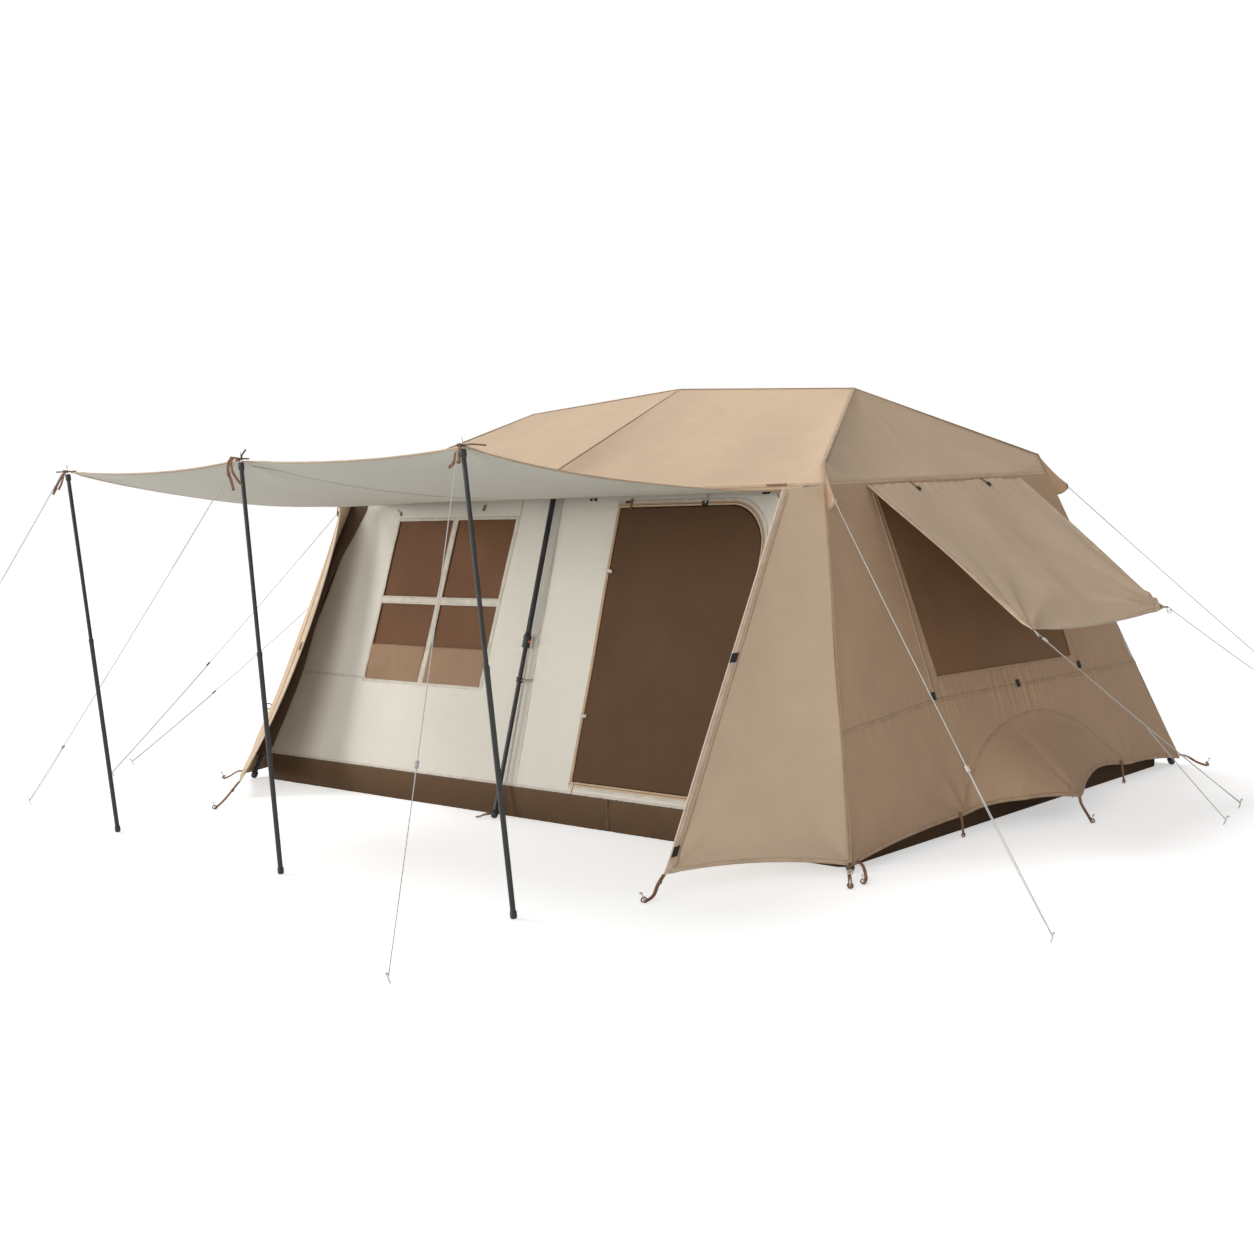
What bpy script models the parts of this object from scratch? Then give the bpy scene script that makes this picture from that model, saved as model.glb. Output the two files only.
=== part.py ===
"""Six-leg cabin tent with a framed roof, two flared front wings, a porch canopy on three poles and two
propped window flaps.

The origin is the middle of the groundsheet's underside. +X runs to the right of somebody facing the
front wall, the front faces -Y and +Z is up. Cloth is drawn a few millimetres thick.
"""

import math

import bmesh
import bpy
import numpy as np
from mathutils import Matrix, Vector

for old in list(bpy.data.objects):
    bpy.data.objects.remove(old)

# Driving dimensions of the cloth shell
BASE_X, BASE_Y = 2.165, 1.51
EAVE_X, EAVE_Y, EAVE_Z = 1.668, 0.945, 1.70
HUB_X, HUB_Z, RIDGE_Z = 1.17, 2.07, 2.142
HEM_Z = 0.035
SKIRT_Z = 1.60
MID_BULGE = 0.080
LEAN_X = (BASE_X - EAVE_X) / (EAVE_Z - HEM_Z)
LEAN_Y = (BASE_Y - EAVE_Y) / (EAVE_Z - HEM_Z)
CLOTH = 0.004
SEAM_GAP = 0.0008
CORNER_INSET = 0.006
ROOF_SHARES, ROOF_ROWS = (0, 0.12, 0.37, 0.63, 0.88), 4
ROOF_SAG, EAVE_DIP = 0.022, 0.075
HEM_LIFT = 0.035

# Tub floor and the front wall that stands on it
TUB_X, TUB_Y, TUB_Z, TUB_LEAN = 2.075, 1.435, 0.156, 0.03
WALL_FOOT_Y, WALL_LEAN = 1.487, 0.323
WALL_TOP_Z = 1.592
WALL_CLOTH = 0.003
WINDOW_LEFT, WINDOW_RIGHT = -1.263, -0.309
WINDOW_LOW, WINDOW_HIGH = 0.646, 1.549
WINDOW_BAR, WINDOW_SKEW = 0.042, 0.044
DOOR_LEFT, DOOR_RIGHT = 0.448, 1.385
DOOR_LOW, DOOR_HIGH = 0.223, 1.598
DOOR_TOP_ROUND, DOOR_LOW_ROUND = 0.22, 0.14
DOOR_GAP = 0.005

# Frame
LEG_INSET = 0.036
MID_LEG_FOOT_Y, MID_LEG_TOP_Y = 1.527, 0.986
KNUCKLE_Z, MID_KNUCKLE_Z = 1.648, 1.656
KNUCKLE_R, KNUCKLE_HALF = 0.025, 0.034
LEG_OUTER_R, LEG_BORE_R, LEG_INNER_R = 0.0140, 0.0122, 0.0115
COLLAR_R, COLLAR_LOW, COLLAR_LONG = 0.021, 0.870, 0.062
LEG_LAP = 0.14
FOOT_R, FOOT_LONG, FOOT_TIP_R = 0.019, 0.040, 0.008
FOOT_LIFT = 0.0045
BUTTON_R, BUTTON_HOLE_R = 0.0065, 0.0069
BUTTON_BASE, BUTTON_FACE, RECESS_FLOOR = 0.0185, 0.0255, 0.0150
ROOF_POLE_R = 0.0125
HUB_R, HUB_HIGH, HUB_DROP = 0.058, 0.046, 0.078
RIDGE_JOINT_DROP = 0.086
FIT = 0.0004

# Porch canopy and its poles
CANOPY_X = 1.455
CANOPY_ROOT_Z = 1.578
CANOPY_SET_BACK, CANOPY_OVER_POLE = 0.014, 0.006
CANOPY_EDGE_SAGS, CANOPY_MIDDLE_SAG = (0.072, 0.045), 0.055
CANOPY_LOBE, CANOPY_WAIST = 0.027, 0.02
POLE_FEET = ((-1.417, -2.781), (0.085, -2.861), (1.505, -2.795))
POLE_HEADS = ((-1.459, -2.897, 1.797), (0.069, -2.929, 1.799), (1.459, -2.897, 1.797))
POLE_R, POLE_BORE_R, POLE_INNER_R = 0.0110, 0.0098, 0.0092
POLE_SPLIT, POLE_LAP, POLE_BORE_FLOOR = 0.98, 0.12, 0.25
SPIKE_R, SPIKE_LONG = 0.0035, 0.040

# Window flaps on the two ends
FLAP_Y = 0.68
FLAP_HINGE_Z, FLAP_OUT_X, FLAP_OUT_Z = 1.585, 2.517, 0.940
FLAP_SKEW_X, FLAP_SKEW_Z = 0.027, 0.009
FLAP_STANDOFF = 0.012
FLAP_BELLY, FLAP_SAG, FLAP_FOLD = 0.036, 0.018, 0.010
SIDE_WINDOW_Y, SIDE_WINDOW_Z = (-0.57, 0.66), (0.70, 1.54)
VENT_PULL = (2.41, -0.04, 0.105)
VENT_MIDDLE_Y, VENT_HALF, VENT_HIGH = 0.19, 0.78, 0.36

# Wings: the outer low corner of each, and the inner end of its top edge
WING_TIP = {1: (1.735, -2.185, 0.080), -1: (-1.690, -1.875, 0.087)}
WING_TOP = (1.598, -1.158)
WING_SAG = 0.030

# Guy lines: where each leaves the tent and where it is pegged
GUY_R, GUY_STEPS = 0.002, 10
PEG_R, PEG_HIGH, PEG_NOTCH = 0.004, 0.045, 0.012
TIE_X, TIE_Y, TIE_Z = 1.786, 1.036, 1.525
FLAP_PEG = (2.912, 0.546)
TAIL_SHARE = 0.52


def finish(name, colour, roughness, metallic=0.0):
    """A plain material in the piece's own colour."""
    material = bpy.data.materials.new(name)
    material.use_nodes = True
    shader = material.node_tree.nodes["Principled BSDF"]
    shader.inputs["Base Color"].default_value = (*colour, 1.0)
    shader.inputs["Roughness"].default_value = roughness
    shader.inputs["Metallic"].default_value = metallic
    return material


tan_cloth = finish("tan_fly_cloth", (0.42, 0.32, 0.22), 0.8)
cream_cloth = finish("cream_wall_cloth", (0.70, 0.67, 0.60), 0.85)
grey_cloth = finish("grey_canopy_cloth", (0.42, 0.42, 0.37), 0.8)
brown_mesh = finish("brown_mesh", (0.14, 0.08, 0.05), 0.9)
tub_cloth = finish("brown_tub_cloth", (0.13, 0.09, 0.06), 0.7)
black_metal = finish("black_pole", (0.02, 0.02, 0.022), 0.4, 0.8)
black_plastic = finish("black_plastic", (0.02, 0.02, 0.02), 0.5)
button_plastic = finish("orange_button", (0.55, 0.09, 0.04), 0.45)
guy_cord = finish("pale_guy_cord", (0.6, 0.6, 0.58), 0.7)

tent = bpy.data.collections.new("cabin_tent")
cutters = bpy.data.collections.new("cutters")
bpy.context.scene.collection.children.link(tent)
bpy.context.scene.collection.children.link(cutters)


def add_object(name, data, material, matrix=None):
    """A named object of the tent, placed by its matrix."""
    piece = bpy.data.objects.new(name, data)
    tent.objects.link(piece)
    if material:
        piece.data.materials.append(material)
    if matrix is not None:
        piece.matrix_world = matrix
    return piece


def along(start, end):
    """The matrix that lays a shape's z axis on the line from start to end, its x axis level."""
    axis_z = (Vector(end) - Vector(start)).normalized()
    axis_x = Vector((0, 0, 1)).cross(axis_z)
    axis_x = axis_x.normalized() if axis_x.length > 1e-6 else Vector((1, 0, 0))
    matrix = Matrix((axis_x, axis_z.cross(axis_x), axis_z)).transposed().to_4x4()
    matrix.translation = Vector(start)
    return matrix


def turned(name, profile, matrix, material, sides=10):
    """A solid of revolution: (radius, height) points that run down its outer side, swept by a Screw."""
    mesh = bpy.data.meshes.new(name)
    points = [(radius, 0, height) for radius, height in profile]
    mesh.from_pydata(points, [(i, i + 1) for i in range(len(points) - 1)], [])
    piece = add_object(name, mesh, material, matrix)
    sweep = piece.modifiers.new("turn", "SCREW")
    sweep.steps = sweep.render_steps = sides
    sweep.use_merge_vertices = True
    sweep.merge_threshold = 0.00001
    sweep.use_smooth_shade = False
    return piece


def tube(name, points, radius, material, resolution=2):
    """A solid rod along a list of points, as a bevelled curve with filled caps."""
    curve = bpy.data.curves.new(name, "CURVE")
    curve.dimensions = "3D"
    curve.bevel_depth = radius
    curve.bevel_resolution = resolution
    curve.use_fill_caps = True
    line = curve.splines.new("POLY")
    line.points.add(len(points) - 1)
    for point, place in zip(line.points, points):
        point.co = (*place, 1)
    return add_object(name, curve, material)


def apply_all(piece):
    """Replaces an object's curve or modifiers by its evaluated, welded mesh, at the same place."""
    bpy.context.view_layer.update()
    graph = bpy.context.evaluated_depsgraph_get()
    mesh = bpy.data.meshes.new_from_object(piece.evaluated_get(graph))
    form = bmesh.new()
    form.from_mesh(mesh)
    bmesh.ops.remove_doubles(form, verts=form.verts, dist=0.00001)
    form.to_mesh(mesh)
    form.free()
    name, matrix = piece.name, piece.matrix_world.copy()
    bpy.data.objects.remove(piece)
    return add_object(name, mesh, None, matrix)


def combine(piece, other, operation):
    """Joins or cuts piece with another object, which becomes a hidden helper."""
    tent.objects.unlink(other)
    cutters.objects.link(other)
    other.hide_render = True
    other.display_type = "WIRE"
    step = piece.modifiers.new(other.name, "BOOLEAN")
    step.operation = operation
    step.object = other


def block(name, low, high):
    """A box between two corners, from a primitive cube."""
    form = bmesh.new()
    bmesh.ops.create_cube(form, size=1)
    size, middle = Vector(high) - Vector(low), (Vector(high) + Vector(low)) / 2
    bmesh.ops.scale(form, vec=size, verts=form.verts)
    bmesh.ops.translate(form, vec=middle, verts=form.verts)
    mesh = bpy.data.meshes.new(name)
    form.to_mesh(mesh)
    form.free()
    return add_object(name, mesh, None)


def draped(name, place, across, up, material, thickness=CLOTH):
    """A sheet of cloth: a flat grid whose points (u, v), both from 0 to 1, are put where place says.
    Its face looks along u cross v, and its thickness goes behind that face."""
    form = bmesh.new()
    bmesh.ops.create_grid(form, x_segments=across, y_segments=up, size=0.5)
    for corner in form.verts:
        corner.co = place(corner.co.x + 0.5, corner.co.y + 0.5)
    mesh = bpy.data.meshes.new(name)
    form.to_mesh(mesh)
    form.free()
    piece = add_object(name, mesh, material)
    wall = piece.modifiers.new("thickness", "SOLIDIFY")
    wall.thickness = thickness
    wall.offset = -1
    return piece


def between(low, high, share):
    return low + (high - low) * share


def arch(share):
    """A smooth hump over 0 to 1 that is 0 at both ends and 1 in the middle."""
    return 4 * share * (1 - share)


def cloth_x(z):
    """Half width of the cloth shell at the height z."""
    return BASE_X - (z - HEM_Z) * LEAN_X


def cloth_y(z):
    """Half depth of the cloth shell at its corners at the height z."""
    return BASE_Y - (z - HEM_Z) * LEAN_Y


# Roof: a loft from the ridge line, traced there and back, down to the eaves and their skirt
def skirt_below(eave):
    """The point of the skirt's hem under a point of the eave. The skirt leans out as the walls do."""
    drop = eave.z - SKIRT_Z
    x = eave.x * (1 + LEAN_X * drop / EAVE_X)
    y = eave.y + math.copysign(LEAN_Y * drop, eave.y) * min(abs(eave.y) / EAVE_Y, 1)
    return Vector((x, y, SKIRT_Z + SEAM_GAP))


def roof_rings():
    """Closed rings of points, from the ridge line down to the skirt's hem, each panel sagging a little.
    Between its knuckles each panel falls almost to the skirt's hem, with a crease out of each knuckle."""
    mid_y = EAVE_Y + MID_BULGE
    around = [
        (Vector((EAVE_X, -EAVE_Y, EAVE_Z)), Vector((HUB_X, 0, HUB_Z))),
        (Vector((EAVE_X, EAVE_Y, EAVE_Z)), Vector((HUB_X, 0, HUB_Z))),
        (Vector((0, mid_y, EAVE_Z)), Vector((0, 0, RIDGE_Z))),
        (Vector((-EAVE_X, EAVE_Y, EAVE_Z)), Vector((-HUB_X, 0, HUB_Z))),
        (Vector((-EAVE_X, -EAVE_Y, EAVE_Z)), Vector((-HUB_X, 0, HUB_Z))),
        (Vector((0, -mid_y, EAVE_Z)), Vector((0, 0, RIDGE_Z))),
    ]
    rings = [[] for _ in range(ROOF_ROWS + 2)]
    for (eave_a, top_a), (eave_b, top_b) in zip(around, around[1:] + around[:1]):
        for share in ROOF_SHARES:
            top = top_a.lerp(top_b, share)
            eave = eave_a.lerp(eave_b, share) - Vector((0, 0, EAVE_DIP if share else 0))
            for row in range(ROOF_ROWS + 1):
                fall = row / ROOF_ROWS
                sag = Vector((0, 0, ROOF_SAG * arch(share) * arch(fall)))
                rings[row].append(top.lerp(eave, fall) - sag)
            rings[-1].append(skirt_below(eave))
    return rings


def roof_fly():
    rings = roof_rings()
    form = bmesh.new()
    corners = [[form.verts.new(point) for point in ring] for ring in rings]
    for upper, lower in zip(corners, corners[1:]):
        for i in range(len(upper)):
            form.faces.new((upper[i - 1], lower[i - 1], lower[i], upper[i]))
    bmesh.ops.remove_doubles(form, verts=form.verts, dist=0.0001)
    bmesh.ops.recalc_face_normals(form, faces=form.faces)
    mesh = bpy.data.meshes.new("roof_fly")
    form.to_mesh(mesh)
    form.free()
    piece = add_object("roof_fly", mesh, tan_cloth)
    wall = piece.modifiers.new("thickness", "SOLIDIFY")
    wall.thickness = CLOTH
    wall.offset = -1
    return piece


def hem_height(y):
    """The scalloped hem of an end wall: low at the corners, lifted between its ground straps."""
    straps = (-BASE_Y, -0.60, VENT_PULL[1], 0.95, BASE_Y)
    heights = (HEM_Z, 0.090, VENT_PULL[2], 0.085, HEM_Z)
    for i in range(len(straps) - 1):
        if y <= straps[i + 1]:
            share = min(max((y - straps[i]) / (straps[i + 1] - straps[i]), 0), 1)
            return between(heights[i], heights[i + 1], share) + HEM_LIFT * arch(share)
    return heights[-1]


def end_wall_point(y_share, v, side):
    """A point of an end wall. The vent's half ellipse is pulled out to its ground strap."""
    y_base = between(-BASE_Y, BASE_Y, y_share)
    low = hem_height(y_base)
    z = between(low, SKIRT_Z - SEAM_GAP, v)
    y = y_base * cloth_y(z) / BASE_Y
    x = cloth_x(z)
    reach = math.hypot((y - VENT_MIDDLE_Y) / VENT_HALF, (z - low) / VENT_HIGH)
    if reach < 1:
        toward = math.hypot((y - VENT_PULL[1]) / VENT_HALF, (z - low) / VENT_HIGH)
        pull = VENT_PULL[0] - cloth_x(VENT_PULL[2])
        x += pull * max(0, 1 - toward) ** 1.25 * min(1, 3 * (1 - reach))
    return Vector((side * x, y, z))


def end_wall(side):
    """An end wall of the fly with its window opening cut out."""
    name = "end_wall_right" if side > 0 else "end_wall_left"
    levels = [0, 0.05, 0.1, 0.15, 0.2, 0.25, 0.31, 0.6, 1]

    def place(u, v):
        level = levels[round(v * (len(levels) - 1))]
        return end_wall_point(u if side > 0 else 1 - u, level, side)

    piece = draped(name, place, 26, len(levels) - 1, tan_cloth)
    (front, back), (low, high) = SIDE_WINDOW_Y, SIDE_WINDOW_Z
    span = sorted((side * 1.5, side * 2.3))
    combine(piece, block(name + "_window_cut", (span[0], front, low), (span[1], back, high)), "DIFFERENCE")
    for end in (-1, 1):
        combine(piece, tie_tab(name + f"_tab{end}", side, end), "UNION")
    return piece


def tie_tab(name, side, end):
    """The small sewn triangle at an eave corner that a guy line is tied to."""
    heights = (TIE_Z + 0.045, TIE_Z - 0.055)
    tip = Vector((side * (TIE_X - 0.008), end * (TIE_Y - 0.006), TIE_Z))
    form = bmesh.new()
    root = [Vector((side * (cloth_x(z) - 0.003), end * (cloth_y(z) - 0.018), z)) for z in heights]
    outline = [form.verts.new(point) for point in (root[0], tip + Vector((0, 0, 0.006)), tip, root[1])]
    face = form.faces.new(outline)
    form.normal_update()
    depth = bmesh.ops.extrude_face_region(form, geom=[face])["geom"]
    shift = face.normal * 0.003
    bmesh.ops.translate(form, vec=shift, verts=[v for v in depth if isinstance(v, bmesh.types.BMVert)])
    bmesh.ops.recalc_face_normals(form, faces=form.faces)
    mesh = bpy.data.meshes.new(name)
    form.to_mesh(mesh)
    form.free()
    return add_object(name, mesh, None)


def end_window(side):
    """The dark mesh behind an end wall's window opening."""
    name = "end_window_mesh_right" if side > 0 else "end_window_mesh_left"
    (front, back), (low, high) = SIDE_WINDOW_Y, SIDE_WINDOW_Z
    lap = 0.02
    set_back = CLOTH + 0.002

    def place(u, v):
        y = between(front - lap, back + lap, u if side > 0 else 1 - u)
        z = between(low - lap, high + lap, v)
        return Vector((side * (cloth_x(z) - set_back), y, z))

    return draped(name, place, 3, 3, brown_mesh, 0.003)


def flap_corner(side, end, beyond=0.0):
    """A low corner of a window flap, its front one a little further out. End is -1 in front and 1 behind."""
    out = FLAP_OUT_X - FLAP_SKEW_X * end + beyond
    return (side * out, end * (FLAP_Y + beyond), FLAP_OUT_Z - FLAP_SKEW_Z * end)


def window_flap(side):
    """The window's storm flap, propped out by guy lines: hinged under the eave seam, its belly sagging."""
    name = "window_flap_right" if side > 0 else "window_flap_left"
    hinge_x = cloth_x(FLAP_HINGE_Z) + FLAP_STANDOFF

    def place(u, v):
        u = u if side > 0 else 1 - u
        out = 1 - v
        y = between(-FLAP_Y, FLAP_Y, u)
        hem_x, _, hem_z = flap_corner(1, 2 * u - 1)
        x = between(hinge_x, hem_x, out)
        z = between(FLAP_HINGE_Z, hem_z, out)
        belly = arch(u) * (FLAP_BELLY * out ** 1.5 + FLAP_SAG * arch(out))
        folds = FLAP_FOLD * math.sin(5 * math.pi * u) * arch(out)
        hem = HEM_LIFT * arch(u) * out ** 3
        return Vector((side * (x - hem - 0.4 * belly), y, z - belly + folds))

    return draped(name, place, 14, 8, tan_cloth)


def back_wall():
    def place(u, v):
        z = between(HEM_Z + 0.01 + HEM_LIFT * arch((2 * u) % 1), SKIRT_Z - SEAM_GAP, v)
        half = cloth_x(z) - CORNER_INSET
        x = between(half, -half, u)
        y = cloth_y(z) + MID_BULGE * (1 - abs(x) / half)
        return Vector((x, y, z))

    return draped("back_wall", place, 16, 6, tan_cloth)


def eave_front_y(x):
    """The front eave seam's y at x: it stands out a little over the middle leg."""
    return -(cloth_y(SKIRT_Z) + MID_BULGE * (1 - abs(x) / cloth_x(SKIRT_Z)))


def wing(side):
    """A flared front wing, sewn to the corner seam and pegged out at its low corner."""
    name = "wing_right" if side > 0 else "wing_left"
    top_z = SKIRT_Z - 0.003
    seam_top = Vector((side * (cloth_x(top_z) - CORNER_INSET), -cloth_y(top_z) - 0.004, top_z))
    seam_low = Vector((side * (BASE_X - CORNER_INSET), -BASE_Y - 0.004, HEM_Z + 0.004))
    free_top = Vector((side * WING_TOP[0], WING_TOP[1], top_z - 0.014))
    free_low = Vector(WING_TIP[side])

    def place(u, v):
        along_seam = seam_low.lerp(seam_top, v)
        along_edge = free_low.lerp(free_top, v)
        point = along_edge.lerp(along_seam, u if side > 0 else 1 - u)
        inward = Vector((-side * 0.8, 0.5, 0)) * (WING_SAG * arch(u) * arch(v))
        return point + inward + Vector((0, 0, WING_SAG * arch(u) * (1 - v) ** 2))

    return draped(name, place, 7, 8, tan_cloth)


def wall_frame():
    """The front wall's plane: its own x runs along X, its y up the slope and its z out of the front."""
    up_slope = Vector((0, WALL_LEAN, 1)).normalized()
    across = Vector((1, 0, 0))
    matrix = Matrix((across, up_slope, across.cross(up_slope))).transposed().to_4x4()
    matrix.translation = (0, -WALL_FOOT_Y, 0)
    return matrix


def outline_sheet(name, outlines, thickness, matrix, material):
    """A flat sheet with square-cut openings: closed outlines in its plane, the first one outermost."""
    curve = bpy.data.curves.new(name, "CURVE")
    curve.dimensions = "2D"
    curve.fill_mode = "BOTH"
    curve.extrude = thickness / 2
    for outline in outlines:
        line = curve.splines.new("POLY")
        line.points.add(len(outline) - 1)
        for point, (x, y) in zip(line.points, outline):
            point.co = (x, y, 0, 1)
        line.use_cyclic_u = True
    return apply_all(add_object(name, curve, material, matrix))


def rectangle(left, low, right, high, skew=0.0):
    """Four corners in the wall's plane. Skew moves each corner along x with its height in the window."""
    middle, tall = (WINDOW_LOW + WINDOW_HIGH) / 2, WINDOW_HIGH - WINDOW_LOW
    corners = [(left, low), (right, low), (right, high), (left, high)]
    return [(x + skew * (y - middle) / tall, y) for x, y in corners]


def door_outline(inset):
    """The door's D shape: square on its hinge side, round on its free side."""
    left, right = DOOR_LEFT + inset, DOOR_RIGHT - inset
    low, high = DOOR_LOW + inset, DOOR_HIGH - inset
    points = [(left, high), (left, low)]
    for centre_y, radius, start in ((low, DOOR_LOW_ROUND, -90), (high, DOOR_TOP_ROUND, 0)):
        offset = radius if start < 0 else -radius
        for step in range(6):
            angle = math.radians(start + 18 * step)
            x = right - radius + radius * math.cos(angle)
            points.append((x, centre_y + offset + radius * math.sin(angle)))
    return points


def front_wall():
    """The recessed cream front wall, with four window lights and a door opening."""
    slope = math.hypot(1, WALL_LEAN)
    low, high = (TUB_Z + FIT) * slope, WALL_TOP_Z * slope
    half_low, half_high = TUB_X - 0.036, cloth_x(WALL_TOP_Z) - 0.075
    outer = [(-half_low, low), (half_low, low), (half_high, high), (-half_high, high)]
    middle_x, middle_y = (WINDOW_LEFT + WINDOW_RIGHT) / 2, (WINDOW_LOW + WINDOW_HIGH) / 2
    bar = WINDOW_BAR / 2
    lights = [
        rectangle(left, low_edge, right, high_edge, WINDOW_SKEW)
        for left, right in ((WINDOW_LEFT, middle_x - bar), (middle_x + bar, WINDOW_RIGHT))
        for low_edge, high_edge in ((WINDOW_LOW, middle_y - bar), (middle_y + bar, WINDOW_HIGH))
    ]
    outlines = [outer, *lights, door_outline(0)]
    return outline_sheet("front_wall", outlines, WALL_CLOTH, wall_frame(), cream_cloth)


def window_panes():
    lap = 0.02
    behind = wall_frame() @ Matrix.Translation((0, 0, -WALL_CLOTH - FIT))
    left, right = WINDOW_LEFT - lap, WINDOW_RIGHT + lap
    outline = rectangle(left, WINDOW_LOW - lap, right, WINDOW_HIGH + lap, WINDOW_SKEW)
    return outline_sheet("window_panes", [outline], WALL_CLOTH, behind, brown_mesh)


def groundsheet():
    """The bathtub floor: a flat sheet with low walls that lean with the tent."""
    form = bmesh.new()
    bmesh.ops.create_cube(form, size=1)
    for corner in form.verts:
        up = corner.co.z > 0
        corner.co.x = math.copysign(TUB_X - (TUB_LEAN if up else 0), corner.co.x)
        corner.co.y = math.copysign(TUB_Y, corner.co.y)
        corner.co.z = TUB_Z if up else 0
    top = [face for face in form.faces if face.normal.z > 0.9 and face.calc_center_median().z > TUB_Z / 2]
    bmesh.ops.delete(form, geom=top, context="FACES_ONLY")
    mesh = bpy.data.meshes.new("groundsheet")
    form.to_mesh(mesh)
    form.free()
    piece = add_object("groundsheet", mesh, tub_cloth)
    wall = piece.modifiers.new("thickness", "SOLIDIFY")
    wall.thickness = CLOTH
    wall.offset = -1
    wall.use_even_offset = True
    return piece


def door_panel():
    return outline_sheet("door_panel", [door_outline(DOOR_GAP)], WALL_CLOTH, wall_frame(), brown_mesh)


def canopy():
    """The porch canopy: hung from the front eave seam, tied to three poles, sagging between them."""
    def place(u, v):
        x = between(-CANOPY_X, CANOPY_X, u)
        out = 1 - v
        lobe = arch((2 * u) % 1)
        root_y = eave_front_y(x) - 0.002
        side = 0 if u < 0.5 else 2
        share = 2 * abs(u - 0.5)
        head = [between(POLE_HEADS[1][i], POLE_HEADS[side][i], share) for i in (1, 2)]
        y = between(root_y, head[0] + CANOPY_SET_BACK, out) + CANOPY_LOBE * lobe * out ** 3
        z = between(CANOPY_ROOT_Z, head[1] + CANOPY_OVER_POLE, out)
        edge_sag = between(*CANOPY_EDGE_SAGS, u) * abs(2 * u - 1)
        middle_sag = CANOPY_MIDDLE_SAG * (1 - abs(2 * u - 1))
        z -= max(edge_sag, middle_sag) * arch(out)
        z -= CANOPY_LOBE * lobe * (arch(out) + out ** 2)
        return Vector((x * (1 - CANOPY_WAIST * arch(out)), y, z))

    return draped("porch_canopy", place, 18, 10, grey_cloth)


# Frame: legs that telescope, their knuckles, the roof poles and the three hubs
def leg_axes():
    """Name and axis of each leg, from its foot on the ground to the middle of its knuckle."""
    axes = []
    for x_name, side in (("left", -1), ("right", 1)):
        for y_name, end in (("front", -1), ("back", 1)):
            foot, knuckle = (
                Vector((side * (cloth_x(z) - LEG_INSET), end * (cloth_y(z) - LEG_INSET), z))
                for z in (FOOT_LIFT, KNUCKLE_Z)
            )
            axes.append((f"{y_name}_{x_name}", foot, knuckle))
    for y_name, end in (("front", -1), ("back", 1)):
        foot = Vector((0, end * MID_LEG_FOOT_Y, FOOT_LIFT))
        knuckle = Vector((0, end * MID_LEG_TOP_Y, MID_KNUCKLE_Z))
        axes.append((f"{y_name}_middle", foot, knuckle))
    return axes


def leg(name, foot, knuckle):
    """One telescoping leg: the upper tube with its knuckle and lock collar, the lower tube with its foot,
    and the lock button, which sits in a blind hole in the collar and moves along the leg's own x axis."""
    matrix = along(foot, knuckle)
    long = (knuckle - foot).length
    neck, shoulder = long - KNUCKLE_HALF, long + KNUCKLE_HALF
    upper = turned(
        f"leg_upper_{name}",
        [
            (0, shoulder),
            (KNUCKLE_R * 0.8, shoulder),
            (KNUCKLE_R, shoulder - 0.006),
            (KNUCKLE_R, neck),
            (LEG_OUTER_R, neck),
            (LEG_OUTER_R, COLLAR_LOW + COLLAR_LONG),
            (COLLAR_R, COLLAR_LOW + COLLAR_LONG),
            (COLLAR_R, COLLAR_LOW),
            (LEG_BORE_R, COLLAR_LOW),
            (LEG_BORE_R, neck - 0.006),
            (0, neck - 0.006),
        ],
        matrix,
        black_metal,
    )
    turned(
        f"leg_lower_{name}",
        [
            (0, COLLAR_LOW + LEG_LAP),
            (LEG_INNER_R, COLLAR_LOW + LEG_LAP),
            (LEG_INNER_R, FOOT_LONG),
            (FOOT_R, FOOT_LONG - 0.004),
            (FOOT_R, 0.014),
            (FOOT_TIP_R, 0),
            (0, 0),
        ],
        matrix,
        black_metal,
    )
    sideways = matrix @ Matrix.Translation((0, 0, COLLAR_LOW + COLLAR_LONG / 2))
    sideways = sideways @ Matrix.Rotation(math.radians(90), 4, "Y")
    mouth = COLLAR_R + 0.01
    hole = [(0, mouth), (BUTTON_HOLE_R, mouth), (BUTTON_HOLE_R, RECESS_FLOOR), (0, RECESS_FLOOR)]
    cutter = turned(f"recess_{name}", hole, sideways, None)
    combine(upper, cutter, "DIFFERENCE")
    turned(
        f"lock_button_{name}",
        [
            (0, BUTTON_FACE),
            (BUTTON_R * 0.75, BUTTON_FACE),
            (BUTTON_R, BUTTON_FACE - 0.0015),
            (BUTTON_R, BUTTON_BASE),
            (0, BUTTON_BASE),
        ],
        sideways,
        button_plastic,
        8,
    )


def hub(name, x, z):
    """A moulded hub that the roof poles pivot in."""
    profile = [
        (0, HUB_HIGH),
        (HUB_R * 0.6, HUB_HIGH),
        (HUB_R, HUB_HIGH * 0.7),
        (HUB_R, 0.004),
        (HUB_R - 0.004, 0),
        (0, 0),
    ]
    turned(name, profile, Matrix.Translation((x, 0, z - HUB_HIGH / 2)), black_plastic, 12)


def clear_of(radius, axis, way):
    """How far along its way a roof pole must start to meet a round joint of that radius and axis."""
    lean = abs(axis.normalized().dot(way))
    return (radius + ROOF_POLE_R * lean) / math.sqrt(1 - lean**2) + FIT


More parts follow.
